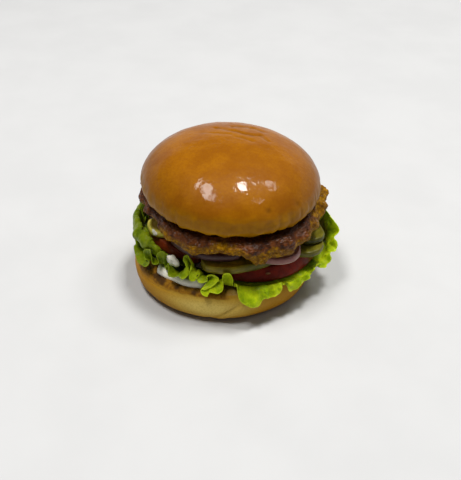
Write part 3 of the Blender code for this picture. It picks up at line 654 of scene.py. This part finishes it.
def patty_material():
    """Fried patty: dark oily crust with red-brown and near-black patches and a golden lower rim, painted
    shade in its creases and a painted shadow of the crown over its upper part.
    """
    m = Shader("fried_patty", rough=0.55, specular=0.05, coat=0.5)
    m.colour = m.mottle(3.0, 5, (0.042, 0.011, 0.002), (0.155, 0.043, 0.008), 0.7, 0.36, 0.64)
    m.lay("gold", m.mottle(2.4, 4, (0.31, 0.148, 0.0005), (0.15, 0.058, 0.0005), 0.65, 0.36, 0.64))
    scorch = m.span(m.noise(0.9, 3, 0.7), 0.5, 0.75)
    m.lay(scorch, (0.047, 0.016, 0.0047), 0.35)
    m.lay("tip", (0.4, 0.215, 0.006), 0.55)
    # painted shade in the creases between the lumps, and the black pit
    m.lay("pit", (0.028, 0.01, 0.0055))
    # painted shadow of the crown over the patty's upper part
    m.lay("under", (0.3, 0.26, 0.25), blend="MULTIPLY")
    rough = m.span(m.noise(1.6, 3), 0.3, 0.7, 0.38, 0.6)
    fat = m.span(m.mask("gold"), 0.0, 1.0, 0.36, 0.16)
    return m.finish([(0.12, 0.5, 2, 0.5), (0.42, 1.2, 3, 0.6)], rough, fat)


def lettuce_material():
    """Fresh leaf: yellow green with pale veins and pale edges partly lit by painted light, painted shade in
    its hollows and near the root.
    """
    m = Shader("lettuce", rough=0.42, specular=0.08, coat=0.06, subsurface=0.3, scatter=(0.7, 1.0, 0.1),
               reach=1.2)
    m.colour = m.mottle(7, 4, (0.475, 0.585, 0.006), (0.235, 0.35, 0.002), 0.6, 0.36, 0.64)
    # painted shade in the hollows, inside the stack and near the root
    m.lay("deep", (0.055, 0.091, 0.0016), 0.85)
    m.lay("vein", (0.52, 0.64, 0.012), 0.3)
    # pale free edge: partly the leaf's own tone, partly painted light shining through the thin edge
    m.lay("edge", (0.58, 0.72, 0.025), 0.7)
    m.lay("rib", (0.435, 0.521, 0.063))
    m.lay("shade", (0.36, 0.38, 0.5), blend="MULTIPLY")
    return m.finish([(0.08, 0.8, 4, 0.6), (0.6, 2.8, 3)])


def tomato_material():
    m = Shader("tomato", rough=0.35, specular=0.2, coat=0.2, subsurface=0.12, scatter=(1, 0.2, 0.1),
               reach=1.2)
    m.colour = m.mottle(4, 4, (0.29, 0.022, 0.008), (0.18, 0.013, 0.006), 0.6)
    m.lay("face", m.mottle(2.4, 4, (0.269, 0.043, 0.017), (0.174, 0.017, 0.0095), low=0.4, high=0.62))
    fibre = m.span(m.noise(1.2, 3, where=m.stretched(1, 1, 0.3)), 0.5, 0.75)
    m.lay(fibre, (0.284, 0.063, 0.028), 0.22)
    m.lay("warm", (0.19, 0.059, 0.0095), 0.4)
    return m.finish([(0.06, 1.4, 3)])


def seed_material():
    m = Shader("tomato_seed", rough=0.3, subsurface=0.2, scatter=(1, 0.7, 0.3), reach=0.6)
    m.colour = m.mottle(0.6, 3, (0.3, 0.12, 0.028), (0.19, 0.06, 0.016), low=0.3, high=0.7)
    return m.finish([(0.04, 0.4, 2)])


def pickle_material():
    m = Shader("pickle", rough=0.38, specular=0.2, coat=0.2, subsurface=0.12, scatter=(0.8, 0.8, 0.2),
               reach=1.2)
    m.colour = m.mottle(5, 4, (0.4, 0.315, 0.018), (0.275, 0.212, 0.012))
    stripe = m.span(m.noise(1.8, 2, where=m.stretched(0.35, 0.35, 1.6)), 0.42, 0.6)
    m.lay(stripe, (0.17, 0.14, 0.01), 0.6)
    m.lay("skin", m.mottle(1.4, 4, (0.095, 0.097, 0.022), (0.052, 0.056, 0.012), 0.65, 0.4, 0.6))
    # painted light: the left slice brightened, though it sits in shade under the patty
    m.lay("light", (0.74, 0.65, 0.1))
    m.lay("shade", (0.46, 0.52, 0.55), blend="MULTIPLY")
    return m.finish([(0.09, 1.0, 3)])


def onion_material():
    m = Shader("onion", rough=0.35, specular=0.25, coat=0.2, subsurface=0.25, scatter=(1, 0.6, 0.6),
               reach=1.5)
    m.colour = m.mottle(6, 3, (0.31, 0.14, 0.118), (0.225, 0.092, 0.08))
    # purple skin and rings, and on the left slice painted shade as well
    m.lay("purple", (0.095, 0.028, 0.032))
    m.lay("white", (0.45, 0.34, 0.26))
    fibres = m.stretched(0.4, 0.4, 2.0)
    grainy = m.span(m.noise(0.9, 3, where=fibres), 0.4, 0.7)
    m.lay(grainy, (0.395, 0.3, 0.284), 0.18)
    m.lay("shade", (0.4, 0.42, 0.36), blend="MULTIPLY")
    return m.finish([(0.05, 1.2, 2, 0.55, fibres)])


def sauce_material():
    m = Shader("white_sauce", rough=0.35, specular=0.3, coat=0.3, coat_rough=0.12, subsurface=0.15,
               scatter=(1, 0.9, 0.6), reach=0.6)
    m.colour = m.mottle(3, 3, (0.9, 0.88, 0.76), (0.84, 0.81, 0.66))
    return m.finish([(0.12, 2.0, 3)])


# ---------------- pieces
CREASES = [  # grooves in the crown's glaze behind its top: depth, half width and course in plan (mm)
    (0.66, 1.7, [(-4.0, 18.3), (3.4, 13.6), (9.0, 11.6), (15.7, 8.9), (21.4, 11.0)]),
    (0.7, 1.9, [(5.4, 21.6), (12.4, 22.4), (18.6, 22.1), (22.9, 18.3)]),
    (0.36, 1.3, [(7.0, 4.5), (11.9, 3.3), (16.0, 1.0)]),
    (0.38, 1.3, [(21.9, 8.7), (25.3, 4.6)]),
    (0.24, 1.3, [(-12.0, 12.0), (-3.0, 8.5), (4.0, 7.8)]),
]
DENTS = [(24.2, -45.4, 71.2, 1.7, 0.45), (40.1, -35.2, 69.7, 1.5, 0.25)]  # x, y, z, radius, depth


def off_line(x, y, points):
    """Distance in plan from the nearest part of a line through the points."""
    best = np.full(x.shape, 1e9)
    for (ax, ay), (bx, by) in zip(points, points[1:]):
        dx, dy = bx - ax, by - ay
        t = np.clip(((x - ax) * dx + (y - ay) * dy) / (dx * dx + dy * dy), 0, 1)
        best = np.minimum(best, np.hypot(x - ax - t * dx, y - ay - t * dy))
    return best


def off_point(grid, point):
    return np.linalg.norm(grid - point, axis=-1)


def crown(material):
    steps = runs((0.006, 0.6, 92), (0.606, 0.84, 60), (0.85, 0.99, 10))
    grid, s, a = rings(crown_ring, COLUMNS["crown"], steps)
    skin = ramp(s, 0.8, -0.05)
    relief = 0.17 * noise(grid, 15, 1) + 0.12 * noise(grid, 7, 2) + 0.045 * noise(grid, 2.8, 3)
    top = ramp(s, 0.3, -0.05)
    # painted shade along the creases and in the dents
    dark = np.zeros(s.shape)
    for depth, width, line in CREASES:
        away = off_line(grid[..., 0], grid[..., 1], line) + 0.8 * noise(grid, 4.0, 8)
        relief -= top * depth * (1 + 0.5 * noise(grid, 5, 10)) * bell(away, 0, width)
        dark = np.maximum(dark, top * 0.75 * depth * bell(away, 0, 0.6 * width))
    for x, y, z, radius, depth in DENTS:
        near = bell(off_point(grid, [x, y, z]), 0, radius)
        relief -= depth * near
        dark = np.maximum(dark, 0.5 * near)
    # the lower edge is gathered into soft lobes by short upright creases
    first, second = cells(np.stack([a / 9.0, 0 * a], -1), 4)
    fold = 1 - smooth((second - first) / 0.3)
    edge = ramp(s, 0.5, 0.1) * skin
    relief -= edge * (0.4 * fold + 0.15 * noise(grid, 4, 5))
    relief += (1 - skin) * 0.25 * noise(grid, 1.6, 6)
    relief += 0.1 * smooth((0.16 - cells(grid / 7.0, 9)[0]) / 0.1) * skin
    grid = raised(grid, relief)
    streak = smooth(1.6 * noise(np.stack([a / 2.4, 2.2 * s, 0 * a], -1), 1.0, 18) + 0.3) * bell(s, 0.64, 0.09)
    pale = 0.12 + 0.3 * smooth(lobes(a) * 0.8 + 0.4) + 0.3 * bell(wrap(a), -13, 9)
    # painted shade on the crown's sides, strongest low down and away from the front
    flank = ramp(s, 0.26, 0.2) * (1 - bell(wrap(a), 5, 42))
    # the dark mask is painted shade in the creases, the dents and the folds of the lower edge
    masks = {"low": smooth((s - 0.49 - 0.02 * noise(grid, 9, 7)) / 0.11),
             "pale": np.clip(bell(s, 0.7, 0.06) * pale + 0.18 * streak, 0, 1),
             "dark": np.clip(dark + 0.12 * edge * fold, 0, 1),
             "crumb": ramp(s, 0.8, 0.03),
             "flank": flank * (1 - 0.45 * bell(s, 0.68, 0.09))}
    ring_piece("crown_crust", grid, material, ["bun_crown"], masks)


CHAR_HEIGHT = 18.6
# charred spots on the heel's toasted rim: azimuth, radius, size (mm)
HEEL_CHAR = [
    (-61, 50.6, 2.0), (-50.5, 50.4, 2.6), (-47.0, 50.8, 3.3), (-43.5, 51.2, 2.4), (-31, 51.0, 1.7),
    (-19, 51.4, 1.9), (-12, 51.0, 1.5), (-4, 50.6, 1.6), (40, 50.5, 1.8), (120, 50.8, 2.0), (200, 51.0, 1.7),
]


def heel(material):
    k, h = spline(HEEL_RINGS, np.linspace(0, 1, HEEL_ROWS)).T
    grid, i, a = rings(lambda az, i: heel_ring(az, k[i], max(h[i], 0.0)), COLUMNS["heel"],
                       range(HEEL_ROWS - 1, -1, -1))
    height, a = h[i], wrap(a)
    free = smooth(height / 1.5)
    cut = ramp(height, 19.3, 0.7)
    relief = free * (0.14 * noise(grid, 9, 11) + 0.07 * noise(grid, 3.2, 12) + 0.03 * noise(grid, 1.1, 13))
    pores = 1 - smooth(cells(grid / 1.5, 14)[0] / 0.55)
    relief -= cut * (0.28 * pores + 0.1)
    relief -= bell(a, 3.0, 9.0) * 0.35 * bell(height, fold_height(a), 0.8) * ramp(height, 19, -4)
    relief -= 0.3 * bell(a, -42, 16) * bell(height, 16.2 + 0.03 * (a + 42), 0.7)
    grid = raised(grid, relief)
    grid[..., 2] = np.maximum(grid[..., 2], 0.0)
    toasted = ramp(a, -88, 10) * ramp(a, 8, -10)
    rim = smooth((height - 16.9 + 0.7 * noise(grid, 4, 15)) / 1.4)
    char = np.zeros(height.shape)
    for spot, r, size in HEEL_CHAR:
        d = off_point(grid, polar(spot, r, CHAR_HEIGHT)) * (1 + 0.5 * noise(grid, 2.0, 16))
        char = np.maximum(char, smooth((size + 0.8 - d) / 1.8))
    # golden-brown crust at the base, where it also holds painted shade, and on the left and right sides
    baked = 0.8 * smooth((7.5 - height + 2 * noise(grid, 12, 17)) / 6) + 0.95 * bell(a, -64, 30)
    baked = baked + 0.85 * ramp(a, 12, 16) * ramp(a, 150, -30)
    pale = 0.85 * bell(a, -10, 19) * bell(height, 10.5, 6.0) + 0.35 * bell(a, -10, 34) * bell(height, 12, 4)
    masks = {"baked": np.clip(baked, 0, 1), "pale": pale, "cut": cut,
             "toast": np.clip(rim * (0.25 + 0.75 * toasted), 0, 1), "char": 0.92 * char}
    ring_piece("heel_crust", grid, material, ["bun_heel"], masks)


SCORCH = (31.5, -48.3, 49.0)  # a black pit in the patty's rim


def patty(material):
    steps = runs((0.02, 0.335, 10), (0.35, 0.735, 108), (0.76, 0.98, 9))
    grid, s, a = rings(patty_ring, COLUMNS["patty"], steps)
    a = wrap(a)
    rim = ramp(s, 0.34, 0.05) * ramp(s, 0.75, -0.05)
    big = grain(grid + 1.4 * noise(grid, 4, 20)[..., None], 4.6, 21)
    small = grain(grid, 1.9, 22)
    relief = 0.2 * (big - 0.55) + 0.3 * (small - 0.5) + 0.45 * noise(grid, 5.5, 23)
    relief += 0.28 * noise(grid, 2.4, 24) + 0.3 * noise(grid, 1.3, 25)
    black = bell(off_point(grid, SCORCH), 0, 1.3)
    grid = raised(grid, (relief - 0.8 * black) * rim)
    height = grid[..., 2] - table(a, PATTY_LOW)
    right = ramp(a, 2, 10) * ramp(a, 150, -30)
    far = bell(a, 84, 22)
    reach = 7.0 + 1.2 * right + 5.0 * far + 0.8 * bell(a, -30, 16)
    reach -= 4.0 * ramp(a, -50, -10) * smooth((130 + a) / 20)
    gold = smooth((reach + 1.9 * noise(grid, 5.5, 26) + 0.9 * noise(grid, 1.8, 27) - height) / 3.2)
    nodules = smooth(noise(grid, 2.6, 28) * 1.6 - 0.5) * smooth((reach + 4.5 - height) / 4)
    gold = np.maximum(gold, 0.45 * right * nodules)
    masks = {"gold": gold, "tip": smooth((small * 0.6 + big * 0.5 - 0.62) / 0.3) * gold,
             # painted shade in the creases between the big lumps, plus the black pit
             "pit": np.clip(ramp(big, 0.34, -0.3) * 0.25 + black, 0, 1) * rim,
             # painted shadow of the crown over the upper part, weaker at the far right
             "under": 0.85 * smooth((height - 8.5 + 1.2 * noise(grid, 4, 29)) / 4) * (1 - 0.8 * far)}
    ring_piece("patty_crust", grid, material, ["patty"], masks)


# each leaf's columns and rows, blisters, crumples, frills of the free edge (mm), how ragged that edge is, how
# plain the ribs, over how many columns its folds are evened, how far in all this goes (mm), painted shade
# inside
LEAF_LOOK = {
    "lettuce_left_low": ((640, 50), 0.26, 0.4, 0.0, 1.0, 0.15, 0, 12, 1.0),
    "lettuce_left_up": ((340, 44), 0.7, 1.7, 2.4, 0.5, 0.3, 91, 30, 0.0),
    "lettuce_right": ((520, 50), 0.65, 0.95, 0.3, 1.0, 0.25, 11, 12, 0.6),
    "lettuce_back": ((380, 38), 0.6, 0.8, 0.0, 1.0, 0.4, 0, 12, 0.6),
}
BLISTER, RIB_EVERY = 6.2, 13.6  # size of a leaf's blisters (mm), degrees from rib to rib


def fine_leaf(leaf, u, v):
    """The CAD leaf's middle surface at any u, with the drift of its blade taken at the CAD's own columns."""
    edge = spline(leaf["edge"], u)
    ends = leaf["edge"][0][0], leaf["edge"][-1][0]
    own = np.linspace(0, 1, leaf["cols"] + 1)
    window = np.hanning(25) / np.hanning(25).sum()
    stray = spline(leaf["edge"], own)[:, 0] - (ends[0] + (ends[1] - ends[0]) * own)
    drift = np.interp(u, own, np.convolve(np.pad(stray, 12, mode="edge"), window, "valid"))
    even = ends[0] + (ends[1] - ends[0]) * u + drift
    mid_r, mid_z, fold_r = (table(even, [(m[0], m[k]) for m in leaf["mid"]]) for k in (1, 2, 3))
    root_r, root_z, fold_z = (np.full_like(u, value) for value in leaf["root"])
    root, fold, mid = (np.stack([even, r, z], -1)
                       for r, z in ((root_r, root_z), (fold_r, fold_z), (mid_r, mid_z)))
    rows = [(1 - w) ** 3 * root + 3 * w * (1 - w) ** 2 * fold + 3 * w * w * (1 - w) * mid + w**3 * edge
            for w in v]
    grid = np.stack(rows, 1)
    return polar(*np.moveaxis(grid, -1, 0))


def evened(grid, width):
    """The grid with its columns averaged over a moving window."""
    window = np.hanning(width + 2)[1:-1]
    padded = np.pad(grid, ((width // 2, width // 2), (0, 0), (0, 0)), mode="edge")
    return sum(share * padded[k:k + len(grid)] for k, share in enumerate(window / window.sum()))


def lettuce(name, seed, material):
    (cols, rows), swell, crumple, ruffle, rag, ribs, calm, reach, inside = LEAF_LOOK[name]
    u = np.linspace(0, 1, cols)
    v = 1 - (1 - np.linspace(0, 1, rows)) ** 1.35
    grid = fine_leaf(LEAVES[name], u, v)
    grid = press(evened(grid, calm) if calm else grid)
    up = np.cumsum(np.linalg.norm(np.diff(grid, axis=1, prepend=grid[:, :1]), axis=2), axis=1)
    left = up[:, -1:] - up  # distance still to go to the free edge
    outer = smooth((reach - left) / 8)
    first, second = cells(grid / BLISTER + 0.25 * noise(grid, 5, seed)[..., None], seed)
    vein = 1 - smooth((second - first) / 0.16)
    blister = smooth((second - first) / 0.8)
    az = np.degrees(np.arctan2(grid[..., 0], -grid[..., 1]))
    rib = ((az / RIB_EVERY + 0.1 * noise(grid, 9, seed + 2)) % 1.0) - 0.5
    rib = bell(rib, 0, 0.02 + 0.03 * smooth(left / 18)) * ramp(left, 1.2, 3)
    relief = swell * (blister - 0.5) + crumple * noise(grid, 6.5, seed + 3)
    relief = outer * (relief + 0.08 * noise(grid, 2, seed + 4))
    relief += ramp(left, 5.5, -5.0) * 0.3 * noise(grid, 4.2, seed + 5) + 0.1 * ribs * rib
    relief += ramp(left, 10, -9) * ruffle * noise(grid[:, -1:], 5.5, seed + 9)
    ends = smooth(u / 0.12) * ramp(u, 1, -0.12)
    fine = grid + sheet_normals(grid) * (relief * ends[:, None])[..., None]
    # the free edge is ragged: its last few millimetres stretch and shrink
    outward = grid[:, -1] - grid[:, -4]
    outward /= np.linalg.norm(outward, axis=1)[:, None]
    ragged = 0.4 * noise(grid[:, -1], 2.6, seed + 6) + 0.15 * noise(grid[:, -1], 1.1, seed + 7)
    ragged *= ends * rag
    fine += (ramp(left, 3.0, -3.0) * ragged[:, None])[..., None] * outward[:, None]
    thick = 0.62 - 0.3 * ramp(left, 9, -9)
    shade = 0.9 * ramp(az, -12, -22) + 0.22 * ramp(az, 40, 20)
    # the deep mask is painted shade inside the stack, away from the free edge
    # the edge mask is partly the leaf's own pale rim, partly painted light shining through it
    masks = {"vein": vein * outer, "rib": ribs * rib * outer, "edge": ramp(left, 1.0, -0.8),
             "deep": smooth((left - 5 + 2 * noise(grid, 7, seed + 8)) / 7) * inside,
             "shade": shade * (1 - 0.55 * smooth((grid[..., 2] - 42) / 8))}
    sheet_piece(name + "_leaf", fine, thick, material, [name], masks)


SLICE_STEPS = runs((0.02, 0.39, 9), (0.4, 0.6, 26), (0.61, 0.98, 9))


def tomato(name, seed, grid, s, a, share):
    wall = ramp(s, 0.4, 0.04) * ramp(s, 0.6, -0.04)
    relief = 0.14 * noise(grid, 7, seed) + 0.05 * noise(grid, 2.2, seed + 1)
    relief -= (1 - wall) * 0.3 * ramp(share, 0.9, -0.1) * (0.5 + 0.5 * np.sin(np.radians(5 * a)))
    return raised(grid, relief), {"face": 1 - wall, "warm": float(name == "tomato_left")}


def pickle(name, seed, grid, s, _, share):
    wall = ramp(s, 0.41, 0.04) * ramp(s, 0.59, -0.04)
    bumps = 0.2 * noise(grid * [1, 1, 0.4], 3.0, seed) + 0.07 * noise(grid, 1.2, seed + 1)
    relief = wall * bumps + (1 - wall) * 0.12 * noise(grid, 4, seed + 2)
    relief -= (1 - wall) * 0.25 * bell(share, 0.62, 0.1)
    grid = raised(grid, relief)
    skin = wall * (0.35 + 0.65 * (name == "pickle_right_top")) * smooth(0.8 - np.abs(s - 0.5) * 6)
    shade = name.startswith("pickle_right") + (name == "pickle_front") * ramp(grid[..., 0], 6, 9)
    # the left slice gets painted light, brightening it where the patty shades it
    return grid, {"skin": skin, "light": 0.9 * (name == "pickle_left"), "shade": shade}


def onion(name, seed, grid, s, _, share):
    wall = ramp(s, 0.4, 0.03) * ramp(s, 0.6, -0.03)
    layers = 0.5 + 0.5 * np.cos(2 * math.pi * share * 4.5)
    relief = 0.1 * noise(grid, 8, seed) - (1 - wall) * 0.35 * layers**6
    shaded = name == "onion_left"
    # painted shade: the left slice, under the patty, is made dark purple all over and gets no white rim
    lilac = 0.45 * ramp(s, 0.5, -0.1) + 0.75 * shaded
    white = 0.85 * ramp(s, 0.535, 0.03) * ramp(s, 0.62, -0.03) * (not shaded)
    purple = np.clip(lilac * wall + 0.35 * (1 - wall) * layers**4, 0, 1)
    return raised(grid, relief), {"purple": purple, "white": white, "shade": 0.85 * shaded}


def cut_slice(name, kind, dress, material):
    """A slice dressed by its kind, from its points' steps, azimuths and shares of the radius."""
    d = SLICES[name]
    grid, s, a = rings(lambda az, s: slice_ring(az, s, d), COLUMNS["slice"], SLICE_STEPS)
    share = np.hypot(grid[..., 0] - d["c"][0], grid[..., 1] - d["c"][1]) / slice_radius(a, d)
    grid, masks = dress(name, d["seed"], grid, s, a, share)
    ring_piece(name + "_slice", grid, material, [name], masks)


def sauce(material):
    """The spread on the heel, heaped up where it squeezes out at the front left, and the blob above it."""
    az = around(COLUMNS["sauce"])
    edge = sauce_radius(az) - 0.7
    seen = ramp(wrap(az), -62, 8) * ramp(wrap(az), -10, -8)
    bank = 2.6  # width of the rounded border
    rows = [((edge - bank) * k, 1.0) for k in np.linspace(0.03, 1, 26)]
    for turned in np.linspace(0.06, 0.5, 12) * math.pi:
        rows.append((edge - bank + bank * math.sin(turned), math.cos(turned) ** 0.8))
    rows += [(edge * k, 0.0) for k in (0.96, 0.7, 0.4, 0.1)]
    grid = []
    for r, share in rows:
        p = polar(az, r, 0.0)
        bulge = 0.8 * ramp(r, 33, 9) + 2.0 * ramp(r, 43.5, 3.5)
        swell = 0.9 + seen * bulge * (1 + 0.25 * noise(p, 6.0, 31)) + 0.2 * noise(p, 3.2, 32)
        grid.append(polar(az, r, heel_top(az, r) - 0.15 + share * (swell + 0.15)))
    ring_piece("sauce_layer", np.stack(grid), material, ["sauce"])
    grid = rings(dab_ring, COLUMNS["dab"], np.linspace(0.03, 0.97, 50))[0]
    lumps = 0.75 * noise(grid, 4.2, 33) + 0.22 * noise(grid, 1.8, 34)
    ring_piece("sauce_blob", raised(grid, lumps), material, ["sauce_dab"])


def drop(centre, size, turned, lean, seed, rough):
    """A closed lumpy drop: half sizes across, out and up, turned about +Z and leaning, both in degrees."""
    az = np.radians(around(COLUMNS["drop"]))
    f = np.linspace(0.03, 0.97, 24)[:, None] * math.pi
    ball = np.stack([np.sin(f) * np.sin(az), -np.sin(f) * np.cos(az), np.cos(f) + 0 * az], -1)
    ball = ball * (1 + rough * noise(ball + seed, 0.8, seed))[..., None] * size
    spin = Matrix.Rotation(math.radians(turned), 3, "Z") @ Matrix.Rotation(math.radians(lean), 3, "X")
    return ball @ np.array(spin).T + np.array(centre)


def extras(sauce_look, seed_look):
    """Thin things that lie on the pieces: a smear of sauce on the left pickle and seeds on the tomato."""
    smear = drop((-40.6, -19.0, 40.2), (2.3, 0.5, 1.6), -48, -10, 41, 0.6)
    ring_piece("sauce_smear", smear, sauce_look)
    d = SLICES["tomato_right"]
    for k, (turned, up) in enumerate(((9.0, 1.2), (128.0, 0.8), (-31.0, -1.9))):
        r = slice_radius(np.array([turned]), d)[0] + 0.05
        at = polar(turned, r, 0.0) + [*d["c"], d["z"] + up]
        seed = drop(at, (1.5, 0.42, 0.85), turned, 0, 50 + k, 0.05)
        ring_piece(f"tomato_seed_{k}", seed, seed_look)


# ---------------- stage
def floor():
    side = 4.0
    mesh = bpy.data.meshes.new("floor")
    corners = [(-side, -side, 0), (side, -side, 0), (side, side, 0), (-side, side, 0)]
    mesh.from_pydata(corners, [], [(0, 1, 2, 3)])
    m = Shader("floor", rough=0.75, specular=0.1)
    m.colour = m.mottle(60, 3, (0.535, 0.542, 0.55), (0.515, 0.522, 0.53), low=0.3, high=0.7)
    mesh.materials.append(m.finish())
    add_object("floor", mesh)


CAMERA = dict(distance=503.93, elevation=36.8, yaw=0.59, pitch=-34.8, roll=0.35, lens=60.0)


def camera():
    """Stands in front, looking down at the burger as the photographer did."""
    up, yaw, pitch, roll = (math.radians(CAMERA[k]) for k in ("elevation", "yaw", "pitch", "roll"))
    data = bpy.data.cameras.new("camera")
    data.lens = CAMERA["lens"]
    obj = add_object("camera", data)
    turned = (Matrix.Rotation(-yaw, 4, "Z") @ Matrix.Rotation(math.pi / 2 + pitch, 4, "X")
              @ Matrix.Rotation(roll, 4, "Z"))
    place = Vector((0, -math.cos(up), math.sin(up))) * CAMERA["distance"] * MM
    obj.matrix_world = Matrix.Translation(place) @ turned
    bpy.context.scene.camera = obj


CEILING = 2.2  # height of the ceiling panels above the table, in metres
LAMPS = [  # name, place on the ceiling (m), width and depth (m), radiance
    ("lamp_bright", (0.46, 0.17), (0.34, 0.42), 86.0),
    ("lamp_long", (-0.59, -0.22), (0.4, 0.95), 30.0),
    ("lamp_right", (1.19, 0.53), (0.5, 0.38), 20.0),
    ("lamp_small", (1.12, -0.69), (0.16, 0.16), 17.0),
]


def lamps():
    for name, (x, y), (wide, deep), radiance in LAMPS:
        data = bpy.data.lights.new(name, "AREA")
        data.shape = "RECTANGLE"
        data.size, data.size_y = wide, deep
        data.energy = radiance * math.pi * wide * deep
        data.color = (1.0, 0.98, 0.95)
        add_object(name, data).location = (x, y, CEILING)


def surroundings():
    """A room that is pale behind the burger and near the horizon, and dimmer overhead and in front."""
    world = bpy.data.worlds.new("room")
    bpy.context.scene.world = world
    world.use_nodes = True
    room = Nodes(world.node_tree)
    way = room.node("SeparateXYZ", {0: room.node("TexCoord")["Generated"]})
    low = room.span(way["Z"], 0.4, 0.5, 1.0, 0.0)
    behind = room.span(way["Y"], -0.2, 0.75, 0.06, 1.0, "LINEAR")
    right = room.span(way["X"], 0.2, 0.9, 0.0, 0.1)
    level = room.span(room.math("MULTIPLY", low, behind), 0.0, 1.0, 0.085, 0.56, "LINEAR")
    level = room.math("ADD", level, right)
    tint = room.node("CombineColor", {0: level, 1: level, 2: level})[0]
    room.tree.links.new(tint, room.tree.nodes["Background"].inputs["Color"])
    bpy.context.scene.view_settings.view_transform = "Standard"


# ---------------- the dressed burger
crown(crust_material())
heel(heel_material())
patty(patty_material())
green = lettuce_material()
for number, leaf_name in enumerate(LEAVES):
    lettuce(leaf_name, 60 + 10 * number, green)
looks = {"tomato": (tomato, tomato_material()), "pickle": (pickle, pickle_material()),
         "onion": (onion, onion_material())}
for slice_name in SLICES:
    sort = slice_name.split("_")[0]
    cut_slice(slice_name, sort, *looks[sort])
white = sauce_material()
sauce(white)
extras(white, seed_material())
floor()
camera()
lamps()
surroundings()
